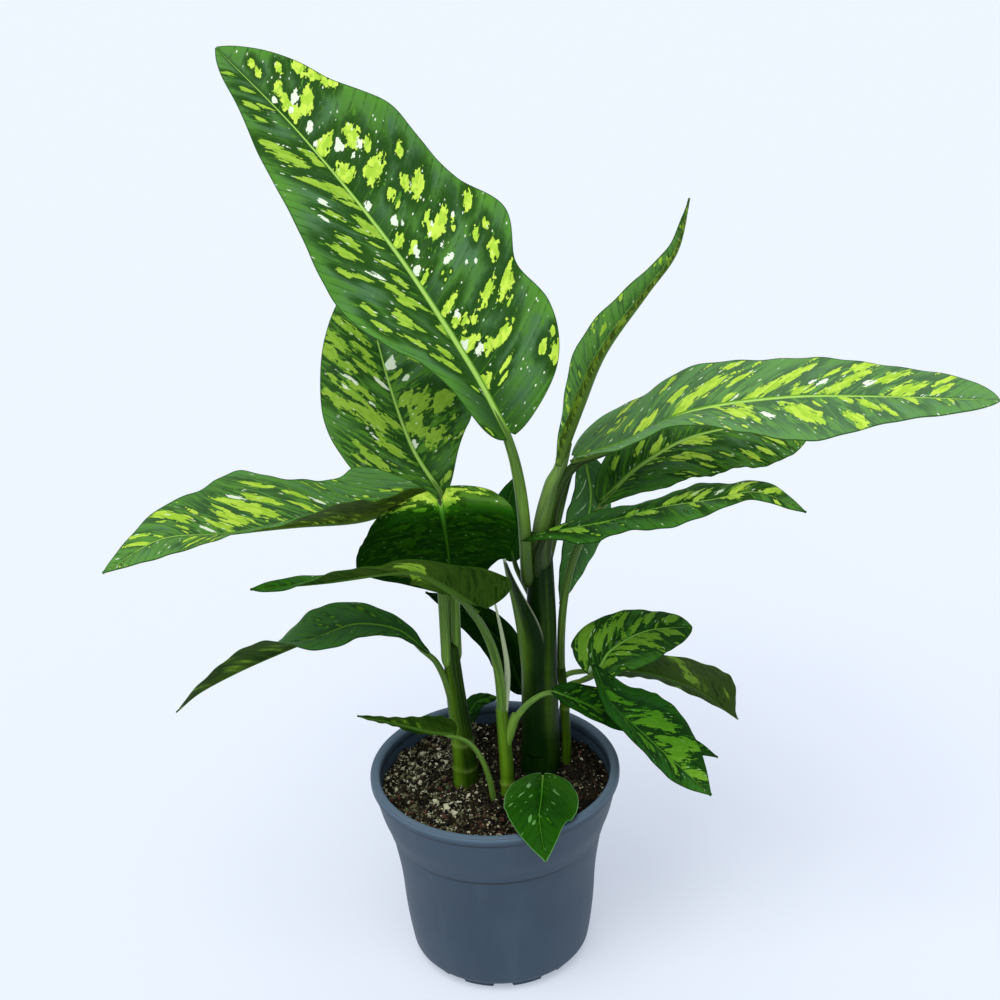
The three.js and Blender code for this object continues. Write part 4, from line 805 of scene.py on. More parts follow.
longest = max(Midrib(leaf).length for leaf in LEAVES.values())
print("the longest blade is", round(longest), "mm")

# %% [markdown]
# The blade is one function of two numbers: how far along the leaf, and how far across it, from -1 at the
# left margin to 1 at the right. Its outline is a power of the distance from the base times another of the
# distance from the tip. Each half is raised by its own angle, the margin ripples, and the lateral veins
# quilt the surface.

# %% Blade surface
OUTLINE = (0.55, 0.95)
LOBE = 0.05
KEEL = 15.0
KEEL_FALL = 1.2
LEAST_WIDTH = 0.8
MARGIN_SWEEP = 0.85
MARGIN_START = 0.001
MARGIN_BEND = 1.3
LATERAL_SPACING = 8.5
LATERAL_SLANT = (1.1, 1.1)
LATERAL_BEND = 0.002
LEFT_WAVE_LAG = 2.2
FRILL = 0.5
FRILL_RATE = 3.7
QUILT = 0.012
QUILT_MIDDLE = 0.6
QUILT_FROM_RIB = (1, 7)
QUILT_FROM_MARGIN = (0, 8)


def blade_surface(leaf, rib, t, s):
    """Middle surface at t along and s across, with what the skin needs to know: the distance from the
    midrib, the distance from the margin, and the number of the lateral vein that passes there."""
    rise, fall = leaf.get("outline", OUTLINE)
    lobe = leaf.get("lobe", LOBE)
    ripple, waves = leaf["ripple"]
    q = np.abs(s)
    is_right = np.broadcast_to(s > 0, np.broadcast_shapes(t.shape, s.shape))
    u = MARGIN_START + (1 - MARGIN_START) * t ** MARGIN_SWEEP

    def by_half(left, right):
        """The left half's curve on the left, and the right half's on the right."""
        return np.where(is_right, smooth(right, u), smooth(left, u))

    widest = rise / (rise + fall)
    outline = (u / widest) ** rise * ((1 - u) / (1 - widest)) ** fall
    wide = by_half(leaf.get("wide_left", [1]), leaf.get("wide_right", [1]))
    width = np.maximum(leaf["half"] * outline * wide, LEAST_WIDTH)
    raised = by_half(leaf["left_rise"], leaf["right_rise"])
    angle = np.radians(raised) + math.radians(leaf.get("keel", KEEL)) * (1 - KEEL_FALL * q)
    turn = FULL_TURN * waves * u + np.where(is_right, 0, LEFT_WAVE_LAG)
    calm_ends = np.sqrt(np.maximum(np.sin(math.pi * u), 0))
    wave = (ripple * q ** 2 * np.sin(turn) + FRILL * q ** 6 * np.sin(FRILL_RATE * turn + 1)) * calm_ends
    margin_at = rib.length * (-lobe + (1 + lobe) * u)
    distance = rib.length * t + (margin_at - rib.length * t) * q ** MARGIN_BEND
    centre, _, up, right = rib.frame(distance)
    across = width * q
    left_slant, right_slant = leaf.get("slant", LATERAL_SLANT)
    slant = np.where(is_right, right_slant, left_slant)
    lateral = (distance - slant * across - LATERAL_BEND * across ** 2) / LATERAL_SPACING
    fade = soft_step(across, *QUILT_FROM_RIB) * soft_step(width - across, *QUILT_FROM_MARGIN)
    quilt = QUILT * leaf["half"] * fade * (np.abs(np.sin(math.pi * lateral)) - QUILT_MIDDLE)
    lift = across * np.sin(angle) + wave + quilt
    points = centre + right * (np.sign(s) * across * np.cos(angle))[..., None] + up * lift[..., None]
    return points, across, width - across, lateral


print("laterals stand", LATERAL_SPACING, "mm apart")

# %% [markdown]
# The splashes follow the lateral veins, so they are placed on the leaf's own map: a lateral's number and
# a distance from the midrib. The large ones are listed with each leaf. The small ones between them are
# drawn at random, in clusters, always from the same seed. What the skin reads is a field: how deep a
# point lies in the nearest ellipse.

# %% Splashes
SCATTER = (0.8, 1.0)
OUTSIDE = -4.0
CLUSTERS_PER_LATERAL = 1.1
USUAL_HALF = 45.0
SPOT_LENGTH = (1.6, 5.5)
SPOT_HEIGHT = (0.12, 0.34)  # in laterals
SPOT_DRIFT = (0.3, 4)  # along in laterals, and across


def field_of(spots, along, across, is_right):
    """How deep each point lies in the nearest spot: 1 in its middle, 0 at its edge, less outside.
    A spot is an ellipse: side, lateral number, distance across, half height, half length."""
    field = np.full(along.shape, OUTSIDE)
    for side, lateral, out, high, long in spots:
        inside = 1 - np.hypot((along - lateral) / high, (across - out) / long)
        field = np.maximum(field, np.where(is_right == (side > 0), inside, OUTSIDE))
    return field


def sided_spots(leaf, kind):
    """The spots of one kind that the leaf lists, with their side put before them."""
    left, right = (leaf.get(f"{side}_{kind}", []) for side in ("left", "right"))
    return [(-1, *spot) for spot in left] + [(1, *spot) for spot in right]


def scattered_spots(leaf, rib, rng):
    """Splashes along the lateral veins: clusters of a few ellipses, more of them near the midrib."""
    amount, size = leaf.get("scatter", SCATTER)
    spots = []
    lanes = int(rib.length / LATERAL_SPACING)
    for side in (-1, 1):
        for lane in range(-2, lanes):
            for _ in range(rng.poisson(amount * CLUSTERS_PER_LATERAL)):
                out = leaf["half"] * 0.85 * rng.random() ** 1.15
                middle = lane + 0.5 + rng.normal(0, 0.25)
                for _ in range(rng.integers(1, 4)):
                    long = size * rng.uniform(*SPOT_LENGTH) * (leaf["half"] / USUAL_HALF) ** 0.5
                    high = size * rng.uniform(*SPOT_HEIGHT)
                    along, across = (rng.normal(0, drift) * size for drift in SPOT_DRIFT)
                    spots.append((side, middle + along, out + across, high, long))
    return spots


listed = sum(len(sided_spots(leaf, "splashes")) for leaf in LEAVES.values())
print(listed, "large splashes are placed by hand")

# %% [markdown]
# A leaf has an upper face, an underside and a narrow margin. The midrib is a shallow channel above and a
# strong rounded rib below, which grows straight out of the stalk. So both faces are made from the same
# middle surface, pushed out along its normals by different amounts.

# %% Blade
BLADE_THICKNESS = 0.55
ROW_CROWDING = 1.5
ROW_SPACING = 1.25
ROWS = (60, 260)
COLUMN_SPACING = 0.95
HALF_COLUMNS = (16, 60)
RIB_TAPER = 0.8
LEAST_RIB = 0.25
CHANNEL_WIDTH, CHANNEL_DEPTH = 0.8, 0.35  # in rib radii
RIB_WIDTH, RIB_HEIGHT = 1.1, 0.85  # in rib radii
# How much painted light turns the splashes of each half from olive to yellow.
GLOW = (0.8, 0.8)
SIDE_SHIFT = 7.3  # moves the pattern on the right half
LEAF_SHIFT = 17.9  # moves the pattern from leaf to leaf
FIRST_SEED = 100


def add_blade(piece, leaf, rib, number):
    """The blade as a closed sheet. Its channel is a bell curve across the rib, its rib below a half round,
    and both get thinner towards the tip."""
    rng = np.random.default_rng(FIRST_SEED + number)
    rows = int(np.clip(rib.length / ROW_SPACING, *ROWS))
    columns = 2 * int(np.clip(leaf["half"] / COLUMN_SPACING, *HALF_COLUMNS)) + 1
    t = np.linspace(0, 1, rows)[:, None] ** ROW_CROWDING
    s = np.linspace(-1, 1, columns)[None, :]
    middle, across, edge, lateral = blade_surface(leaf, rib, t, s)
    normal = unit(np.cross(np.gradient(middle, axis=1), np.gradient(middle, axis=0)))
    rib_radius = leaf["stalk"][-1] * (1 - t) ** RIB_TAPER + LEAST_RIB
    channel = np.exp(-(across / (CHANNEL_WIDTH * rib_radius)) ** 2)
    half_round = np.sqrt(np.maximum(1 - (across / (RIB_WIDTH * rib_radius)) ** 2, 0))
    top = middle + normal * (BLADE_THICKNESS / 2 - CHANNEL_DEPTH * rib_radius * channel)[..., None]
    low = middle - normal * (BLADE_THICKNESS / 2 + RIB_HEIGHT * rib_radius * half_round)[..., None]
    is_right = np.broadcast_to(s > 0, across.shape)
    splashes = sided_spots(leaf, "splashes") + scattered_spots(leaf, rib, rng)
    left_glow, right_glow = leaf.get("glow", GLOW)
    numbers = dict(
        splash=field_of(splashes, lateral, across, is_right),
        white=field_of(sided_spots(leaf, "flecks"), lateral, across, is_right),
        rib=across / (rib_radius * leaf.get("rib_looks", 1) * (1 - 0.5 * t ** 1.5)),
        edge=edge,
        mottle=leaf.get("mottle", 0.5),
        bright=leaf.get("bright", 0.0),
        warm=leaf.get("warm", 0.0),
        shade=smooth(leaf.get("shade", [0.0]), lateral * LATERAL_SPACING / rib.length),
        frost=leaf.get("frost", 0.0),
        glow=np.where(is_right, right_glow, left_glow),
    )
    numbers = {name: np.tile(np.broadcast_to(value, across.shape).reshape(-1), 2)
               for name, value in numbers.items()}
    faces = sheet_faces(rows, columns)
    count = rows * columns
    on_right = (faces % count % columns).mean(1) > (columns - 1) / 2
    shift = np.where(on_right, SIDE_SHIFT, 0)[:, None] + LEAF_SHIFT * number
    uv = np.stack([lateral.reshape(-1)[faces % count], across.reshape(-1)[faces % count] / 10], -1)
    points = np.concatenate([top.reshape(-1, 3), low.reshape(-1, 3)])
    piece.add(points, faces, uv=uv + shift[..., None], upper=np.repeat([1.0, 0.0], count), **numbers)


print("a blade is", BLADE_THICKNESS, "mm thick")

# %% [markdown]
# A stalk grows out of a cane or the soil, leaves it in its own direction, and bends into the midrib. A
# cubic curve does just that: it is fixed by its two ends and by the directions there. The tube runs on
# for a short way under the blade, sunk into the rib, so that no joint shows.

# %% Stalk
STALK_SIDES = 16
STALK_STATIONS = 40
RUN_ON = np.linspace(0.01, 0.09, 5)  # stations under the blade, in rib lengths
RUN_ON_RADII = np.linspace(0.95, 0.35, len(RUN_ON))  # in radii of the stalk's end
SINK_FROM = 0.8
SINK_AT_JOINT, SINK_UNDER_BLADE = 0.75, 0.85
FOOT_TAIL = 9.0
FOOT_STATIONS = 6
FOOT_BLUNTNESS = 0.96


def stalk_centres(leaf, rib, begin):
    """A cubic curve from the stalk's foot to the joint, leaving along begin and arriving along the rib."""
    foot = np.array(leaf["foot"], float)
    joint, forward, _, _ = (value[0] for value in rib.frame(np.zeros(1)))
    end = unit(forward * leaf["bend"] + begin * (1 - leaf["bend"]))
    pull = np.linalg.norm(joint - foot) / 3
    t = np.linspace(0, 1, STALK_STATIONS)[:, None]
    handles = foot, foot + begin * pull, joint - end * pull, joint
    weights = (1 - t) ** 3, 3 * t * (1 - t) ** 2, 3 * t ** 2 * (1 - t), t ** 3
    return sum(weight * handle for weight, handle in zip(weights, handles))


def add_stalk(piece, leaf, rib, number):
    """The stalk as a tube: a blunt tail inside the cane or the soil, the curve up to the joint, and a run
    under the blade in which it sinks into the rib."""
    begin = unit(np.array(leaf.get("start", (0, 0, 1)), float))
    even = np.linspace(0, 1, STALK_STATIONS)
    radii = smooth(leaf["stalk"], even)
    stalk_end = leaf["stalk"][-1]
    curve = stalk_centres(leaf, rib, begin)
    run_on, _, up, _ = rib.frame(RUN_ON * rib.length)
    sink = np.concatenate([soft_step(even, SINK_FROM, 1) * SINK_AT_JOINT,
                           np.full(len(RUN_ON), SINK_UNDER_BLADE)])
    down = np.concatenate([np.broadcast_to(up[0], curve.shape), up]) * (sink * stalk_end)[:, None]
    centres = np.concatenate([curve, run_on]) - down
    below = np.linspace(FOOT_TAIL, 0, FOOT_STATIONS)[:-1, None]
    blunt = np.sqrt(1 - (below[:, 0] / FOOT_TAIL) ** 2 * FOOT_BLUNTNESS)
    centres = np.concatenate([centres[0] - below * begin, centres])
    radii = np.concatenate([radii[0] * blunt, radii, stalk_end * RUN_ON_RADII])
    points, wall, ends = capped(tube_rings(centres, radii, STALK_SIDES))
    along = np.concatenate([np.repeat(np.linspace(0, 1, len(centres)), STALK_SIDES), [0, 1]])
    turn = np.concatenate([np.tile(np.arange(STALK_SIDES) / STALK_SIDES, len(centres)), [0, 0]])
    piece.add(points, wall, ends, slot=1, uv=np.stack([turn * 4 + number, along * 6], -1),
              pale=leaf.get("pale", 0.05), shade=smooth(leaf.get("stalk_shade", [0.0]), along))


def make_leaf(name, leaf, number, materials):
    """Blade and stalk of one leaf as one mesh, with the numbers its skin reads."""
    piece = Piece(name)
    rib = Midrib(leaf)
    add_blade(piece, leaf, rib, number)
    add_stalk(piece, leaf, rib, number)
    piece.finish(materials, node=name)


print("a stalk has", STALK_SIDES, "sides")

# %% [markdown]
# The leaf's skin reads the numbers that each blade carries: the splash field says where the yellow-green
# patches lie. A Voronoi pattern gives every small cell of the blade its own amount, so the patches end
# along the cells and look cut, as they do where single groups of leaf cells lost their green.

# %% Leaf patterns
DEEP_GREEN = colour(34, 72, 16)
SEA_GREEN = colour(80, 118, 76)
LEAF_GREEN = colour(82, 132, 52)
MID_GREEN = colour(84, 136, 40)
FRESH_GREEN = colour(88, 146, 46)
YELLOW_GREEN = colour(204, 234, 84)
SPLASH_SHADE = colour(174, 212, 64)
SPLASH_OLIVE = colour(112, 158, 44)
WHITE_FLECK = colour(232, 242, 214)
RIB_GREEN = colour(104, 158, 48)
RIB_LIGHT = colour(176, 214, 104)
OLIVE = colour(72, 96, 30)
OLIVE_DARK = colour(44, 70, 16)
OLIVE_SPLASH = colour(140, 172, 50)
UNDER_RIB = colour(96, 128, 50)
WARM_OLIVE = colour(84, 116, 26)
DUSK = colour(150, 218, 130)
# A grey-green for painted sheen, the look of the sky reflected on a glossy blade.
SHEEN_GREY = colour(146, 186, 140)
SHADOW = colour(0, 14, 0)
BLADE_NUMBERS = "upper edge rib splash white mottle bright warm shade frost glow".split()
# Patterns by how many of their clouds or cells there are per lateral vein and per centimetre across.
CELL_SCALE = (3.6, 2.6)
BLOCK_SCALE = (3.4, 3.0)
FINE_SCALE = (14, 7)
BROAD_SCALE = (0.5, 0.4)
BLOTCH_SCALE = (2.4, 1.0)
DASH_SCALE = (4.5, 1.3)


def blade_patterns(tree):
    """The numbers that a blade carries and the patterns that both of its sides share, by name."""
    veins = own_map(tree)
    blade = SimpleNamespace(**{name: attribute(tree, name) for name in BLADE_NUMBERS})
    blade.frayed = noise(tree, veins, CELL_SCALE, roughness=0.5)
    blade.fine = noise(tree, veins, FINE_SCALE, roughness=0.6)
    blade.broad = noise(tree, veins, BROAD_SCALE, detail=2)
    blade.block = cells(tree, veins, BLOCK_SCALE, "Color")
    blade.fraying = maths(tree, "ADD", maths(tree, "MULTIPLY_ADD", blade.frayed, 1.5, -0.75),
                      maths(tree, "MULTIPLY_ADD", blade.block, 0.8, -0.4))
    blade.splashed = ramp(tree, maths(tree, "ADD", blade.splash, blade.fraying), 0.0, 0.07)
    blade.halo = ramp(tree, maths(tree, "MULTIPLY_ADD", blade.frayed, 1.2, blade.splash), -1.6, 0.2)
    blotches = noise(tree, veins, BLOTCH_SCALE, detail=4, warp=0.4)
    blade.mottled = ramp(tree, maths(tree, "MULTIPLY_ADD", blade.mottle, 0.22, blotches), 0.69, 0.705)
    along = add_node(tree, "ShaderNodeSeparateXYZ", {0: veins})
    blade.ridge = maths(tree, "PINGPONG", along, 0.5)
    blade.line = ramp(tree, blade.ridge, 0.035, 0.0)
    # Painted light on the splashes: glow, lowered where painted shade lies, turns them from olive to
    # yellow.
    blade.lit = maths(tree, "MULTIPLY", blade.glow, ramp(tree, blade.shade, 0.4, 0.85, 1, 0.1))
    yellow = blend(tree, ramp(tree, blade.block, 0.35, 0.7), SPLASH_SHADE, YELLOW_GREEN)
    blade.yellow = blend(tree, blade.lit, SPLASH_OLIVE, yellow)
    blade.dash = noise(tree, veins, DASH_SCALE, detail=2)
    blade.near_cell = cells(tree, veins, CELL_SCALE)
    blade.cell_number = cells(tree, veins, CELL_SCALE, "Color")
    return blade


print("leaf patterns ready")

# %% [markdown]
# Near the patches the upper side is darkest, the pale midrib has a dark band on each side, and the
# laterals are pressed in. The underside is the same pattern seen through the leaf, olive and dull. One
# recipe makes two skins: a little shiny, and dull for leaves that lie in shade or face away from the
# light.

# %% Leaf skin


def fleck_pattern(tree, blade):
    """Small white flecks: the middles of a few cells, chosen by number, where the broad clouds allow."""
    near = ramp(tree, maths(tree, "MULTIPLY_ADD", blade.fine, 0.22, blade.near_cell), 0.34, 0.3)
    flecks = maths(tree, "MULTIPLY", near, ramp(tree, blade.cell_number, 0.68, 0.7))
    return maths(tree, "MULTIPLY", flecks, ramp(tree, blade.broad, 0.42, 0.55))


def upper_side(tree, blade):
    """Green clouds, darker by the rib, laterals and splashes; then splashes, flecks, rib and margin."""
    skin = blend(tree, ramp(tree, blade.broad, 0.38, 0.62), SEA_GREEN, LEAF_GREEN)
    skin = blend(tree, ramp(tree, blade.edge, 11, 1, 0, 0.6), skin, FRESH_GREEN)
    skin = blend(tree, ramp(tree, blade.rib, 9, 1, 0, 0.75), skin, DEEP_GREEN)
    skin = blend(tree, maths(tree, "MULTIPLY", blade.halo, 0.9), skin, DEEP_GREEN)
    skin = blend(tree, blade.mottled, skin, MID_GREEN)
    in_dusk = ramp(tree, blade.shade, 0.7, 0.85, 0, 0.6)
    dash = maths(tree, "MULTIPLY", ramp(tree, blade.dash, 0.55, 0.6), in_dusk)
    skin = blend(tree, dash, skin, SPLASH_SHADE)
    groove = ramp(tree, blade.ridge, 0.16, 0.0)
    groove = maths(tree, "MULTIPLY", groove, ramp(tree, blade.frayed, 0.4, 0.6, 0.15, 0.6))
    skin = blend(tree, groove, skin, DEEP_GREEN)
    # Painted sheen: greys the blade as the reflected sky would.
    skin = blend(tree, blade.frost, skin, SHEEN_GREY)
    skin = blend(tree, blade.warm, skin, WARM_OLIVE)
    skin = blend(tree, blade.splashed, skin, blade.yellow)
    large_fleck = ramp(tree, maths(tree, "ADD", blade.white, blade.fraying), 0.0, 0.1)
    skin = blend(tree, large_fleck, skin, WHITE_FLECK)
    skin = blend(tree, fleck_pattern(tree, blade), skin, WHITE_FLECK)
    near_rib = ramp(tree, blade.rib, 12, 1, 0.04, 0.7)
    skin = blend(tree, maths(tree, "MULTIPLY", blade.line, near_rib), skin, RIB_GREEN)
    skin = blend(tree, ramp(tree, blade.rib, 0.9, 0.7), skin, RIB_GREEN)
    skin = blend(tree, ramp(tree, blade.rib, 0.55, 0.35), skin, RIB_LIGHT)
    margin = blend(tree, ramp(tree, blade.bright, 0.8, 1), DEEP_GREEN, WHITE_FLECK)
    return blend(tree, ramp(tree, blade.edge, 0.9, 0.3, 0, 0.8), skin, margin)


def under_side(tree, blade):
    """The same splashes and blotches in olive, with raised pale laterals and rib."""
    skin = blend(tree, ramp(tree, blade.broad, 0.35, 0.65), OLIVE_DARK, OLIVE)
    skin = blend(tree, maths(tree, "MULTIPLY", blade.halo, 0.4), skin, OLIVE_SPLASH)
    # Painted light from behind: bright lightens the underside as light shining through the blade would.
    skin = blend(tree, blade.bright, skin, OLIVE_SPLASH)
    skin = blend(tree, blade.mottled, skin, OLIVE)
    skin = blend(tree, blade.splashed, skin, blend(tree, blade.lit, OLIVE_SPLASH, blade.yellow))
    skin = blend(tree, maths(tree, "MULTIPLY", blade.line, 0.6), skin, UNDER_RIB)
    return blend(tree, ramp(tree, blade.rib, 1.3, 0.8), skin, UNDER_RIB)


def leaf_skin(name, gloss):
    """Both sides chosen by the upper number, then darkened by shade, over a fine cell relief."""
    material, tree, shader = new_material(name)
    blade = blade_patterns(tree)
    skin = blend(tree, ramp(tree, blade.upper, 0.3, 0.7), under_side(tree, blade), upper_side(tree, blade))
    skin = blend(tree, ramp(tree, blade.shade, 0.1, 0.6), skin, DUSK, "MULTIPLY")
    skin = blend(tree, blade.shade, skin, SHADOW)
    pores = noise(tree, object_place(tree), 900, detail=2)
    height = maths(tree, "MULTIPLY_ADD", pores, 0.25, maths(tree, "MULTIPLY", blade.line, -0.8))
    height = maths(tree, "MULTIPLY_ADD", blade.fine, 0.5, height)
    dull = maths(tree, "MULTIPLY_ADD", blade.shade, 0.4, ramp(tree, blade.fine, 0.2, 0.8, 0.34, 0.5))
    feed(tree, shader, Base_Color=skin, Roughness=dull, Normal=relief(tree, height, 0.25, 0.0004),
         Subsurface_Weight=0.15, Subsurface_Scale=0.002, Subsurface_Radius=(0.7, 1.0, 0.2),
         Specular_IOR_Level=gloss)
    return material


LEAF_SKIN = leaf_skin("leaf_skin", 0.06)
DULL_SKIN = leaf_skin("leaf_skin_dull", 0.01)
print("leaf skins ready")

# %% [markdown]
# Stalks and canes are smooth, juicy tubes: deep green with faint streaks along them, and paler where an
# old leaf was attached. Each cane says how bright it is from its foot to its top, with painted shade deep
# in the plant, and where along it a painted sunlit band runs.

# %% Stalk and cane skins
STALK_DARK = colour(58, 98, 10)
STALK_LIGHT = colour(104, 148, 30)
STALK_PALE = colour(206, 214, 176)
CANE_DARK = colour(6, 34, 2)
CANE_LIGHT = colour(104, 148, 26)
CANE_SCAR = colour(150, 176, 80)


def stalk_skin():
    """Streaks between two greens, a few pale specks, and shade where the leaf says so."""
    material, tree, shader = new_material("stalk_skin")
    streak = noise(tree, own_map(tree), (3.0, 0.525))
    speck = noise(tree, own_map(tree), (13.5, 6.0), detail=2)
    skin = blend(tree, ramp(tree, streak, 0.3, 0.75), STALK_DARK, STALK_LIGHT)
    skin = blend(tree, attribute(tree, "pale"), skin, STALK_PALE)
    skin = blend(tree, ramp(tree, speck, 0.66, 0.7, 0, 0.2), skin, STALK_PALE)
    skin = blend(tree, attribute(tree, "shade"), skin, SHADOW)
    feed(tree, shader, Base_Color=skin, Roughness=ramp(tree, streak, 0.3, 0.7, 0.34, 0.46),
         Normal=relief(tree, streak, 0.12, 0.0004), Subsurface_Weight=0.12, Subsurface_Scale=0.003,
         Specular_IOR_Level=0.15)
    return material


def cane_skin():
    """The cane's tone, which holds painted shade and a painted sunlit band, made uneven by streaks and
    patches, picks a green; rings show as pale scars.
    """
    material, tree, shader = new_material("cane_skin")
    streak = noise(tree, own_map(tree), (3.3, 0.45), detail=4)
    patch = noise(tree, object_place(tree), 45)
    tone = maths(tree, "MULTIPLY_ADD", maths(tree, "SUBTRACT", streak, 0.5), 0.45, attribute(tree, "tone"))
    tone = maths(tree, "MULTIPLY_ADD", maths(tree, "SUBTRACT", patch, 0.5), 0.3, tone)
    skin = blend(tree, ramp(tree, tone, -0.05, 1.05), CANE_DARK, CANE_LIGHT)
    scar = maths(tree, "MULTIPLY", attribute(tree, "ring"), ramp(tree, patch, 0.35, 0.6, 0.0, 0.28))
    skin = blend(tree, scar, skin, CANE_SCAR)
    skin = blend(tree, attribute(tree, "pale"), skin, STALK_PALE)
    height = maths(tree, "ADD", streak, maths(tree, "MULTIPLY", patch, 0.5))
    feed(tree, shader, Base_Color=skin, Roughness=ramp(tree, patch, 0.3, 0.7, 0.36, 0.5),
         Normal=relief(tree, height, 0.15, 0.0005), Subsurface_Weight=0.08, Subsurface_Scale=0.003,
         Specular_IOR_Level=0.08)
    return material


STALK_SKIN = stalk_skin()
CANE_SKIN = cane_skin()
print("stalk and cane skins ready")

# %% [markdown]
# Now the leaves are built in turn. A leaf's number shifts its pattern and seeds its small splashes, so
# that no two leaves look alike.

# %% Build the leaves
for order, (leaf_name, leaf_shape) in enumerate(LEAVES.items()):
    blade_skin = DULL_SKIN if leaf_shape.get("dull") else LEAF_SKIN
    make_leaf(leaf_name, leaf_shape, order, [blade_skin, STALK_SKIN])

# %% [markdown]
# A cane is the plant's stem. It is a round tube that tapers a little, with a ring at each node where a
# leaf once grew. Old leaf sheaths still cling to the main cane and the middle one, and are part of the
# same piece. tone is how bright the green is, from the foot to the top, and holds painted shade where a
# cane stands deep in the plant; lit is a painted sunlit band that makes one side brighter.

# %% The canes
SOIL_LINE = 71.0
MIDDLE_STUB = dict(path=[(8, -18, 172), (12, -17, 186), (16, -17, 197)], radii=[3, 3.6, 3], tone=0.6)
DRY_TIP = dict(path=[(7, -16, 190), (11, -14, 225), (9, -14, 252), (4, -14, 284)],
               radii=[2.5, 1.9, 1.4, 0.5], tone=0.5, pale=0.6)
CANES = {
    "cane_left": dict(
        path=[(-20, 0, SOIL_LINE), (-20, 0, 128), (-21, 0, 165), (-24, 0, 205), (-26, 0, 243)],
        radii=[9.5, 9.3, 7.8, 6.3, 5], rings=[0.37, 0.51],
        tone=[0.12, 0.14, 0.16, 0.16, 0.15], lit=[0.25, 0.45, 0.45, 0.4, 0.3], lit_at=232),
    "cane_middle": dict(
        path=[(8, -19, SOIL_LINE), (8, -19, 115), (8, -18, 160), (6, -15, 203)],
        radii=[5, 5, 4.7, 3.8], rings=[0.55], tubes=[MIDDLE_STUB, DRY_TIP],
        tone=[0.25, 0.35, 0.42, 0.42], lit=[0.25], lit_at=250),
    "cane_main": dict(
        path=[(31, 12, SOIL_LINE), (31, 12, 118), (32, 14, 160), (33.5, 16.5, 210), (35, 18, 254),
              (36, 18, 303)],
        radii=[13, 13.5, 13, 11.4, 9.8, 7.5],
        tone=[0.02, 0.02, 0.02, 0.02, 0, 0], lit=[0, 0, 0.12, 0.3, 0.15, 0], lit_at=297),
    "shoot_right": dict(
        path=[(49, 22, SOIL_LINE), (49, 22, 123), (50, 23, 150), (49, 25, 180), (47.5, 26.5, 208)],
        radii=[3.4, 3.4, 3.4, 3.2, 2.9], rings=[0.7],
        tone=[0.4, 0.4, 0.3, 0.1], lit=[0.2], lit_at=230),
}
CANE_SIDES = 40
CANE_STATIONS = 160
TUBE_SIDES = 18
TUBE_STATIONS = 40
LIT_WIDTH = math.radians(32)
# Along a cane, as shares of its length: the swelling at a node, the dip above it, its scar, the blunt end.
RING_WIDTH, RING_SWELL = 0.012, 0.5
DIP_ABOVE, DIP_WIDTH, DIP_DEPTH = 0.03, 0.015, 0.3
SCAR_WIDTH = 0.01
BLUNT_END, BLUNT_LEFT = 0.02, 0.2


def bell(t, centre, width):
    """1 at the centre, falling as e to the minus square of the distance in widths."""
    return np.exp(-((t - centre) / width) ** 2)


def cane_tube(piece, cane, sides=CANE_SIDES, stations=CANE_STATIONS):
    """A tube along a smooth path. Its radius swells in a narrow bell at each node and dips just above it,
    and it is brighter by a bell curve around the side that faces the sun."""
    t = np.linspace(0, 1, stations)
    radius, scar = smooth(cane["radii"], t), np.zeros(stations)
    for at in cane.get("rings", []):
        radius = radius + bell(t, at, RING_WIDTH) * RING_SWELL
        radius = radius - bell(t, at + DIP_ABOVE, DIP_WIDTH) * DIP_DEPTH
        scar = scar + bell(t, at, SCAR_WIDTH)
    turn = circle(sides)[None]
    uneven = 1 + 0.02 * np.sin(2 * turn + 9 * t[:, None]) + 0.012 * np.sin(5 * turn + 4 * t[:, None])
    blunt = np.sqrt(np.clip((1 - t) / BLUNT_END, 0, 1)) * (1 - BLUNT_LEFT) + BLUNT_LEFT
    centres = smooth(cane["path"], t)
    tube = tube_rings(centres, (radius * blunt)[:, None] * uneven, sides)
    points, wall, ends = capped(tube)
    out = tube - centres[:, None]
    facing = np.arctan2(out[..., 1], out[..., 0])
    off_light = (facing - math.radians(cane["lit_at"]) + math.pi) % FULL_TURN - math.pi
    # tone holds painted shade, and lit adds a painted sunlit band on the side that faces the sun.
    tone, lit = smooth(cane["tone"], t)[:, None], smooth(cane["lit"], t)[:, None]
    tone = tone + lit * bell(off_light, 0, LIT_WIDTH)
    around = np.tile(np.abs(np.arange(sides) / sides - 0.5) * 2, stations)
    along = np.repeat(t, sides)
    uv = np.stack([np.concatenate([around, [0, 0]]) * 4, np.concatenate([along, [0, 1]]) * 8], -1)
    piece.add(points, wall, ends, uv=uv, pale=cane.get("pale", 0),
              ring=np.concatenate([np.repeat(scar, sides), [0, 0]]),
              tone=np.concatenate([tone.reshape(-1), [0, 0]]))


print(len(CANES), "canes")

# %% [markdown]
# The old sheath on the main cane is the base of a leaf that has fallen. It is a curved sheet, so it is
# made on the cane's own measures: at each level it covers a range of angles, and it stands off the cane
# by a distance that grows towards its torn tip.

# %% The old sheath
SHEATH_ROWS, SHEATH_COLUMNS = 110, 40
SHEATH_LOW = 150.0
SHEATH_TOP = 311.0
SHEATH_TIP_TURN = 205.0
SHEATH_TIP_WIDTH = 6.0
SHEATH_REACH = (14.0, 66.0)
SHEATH_FLARE = 21.0
SHEATH_FLARE_FROM = 195.0
SHEATH_FLARE_HEIGHT = 114.0
SHEATH_THICKNESS = (0.3, 1.6)  # at the margin, and what is added inside
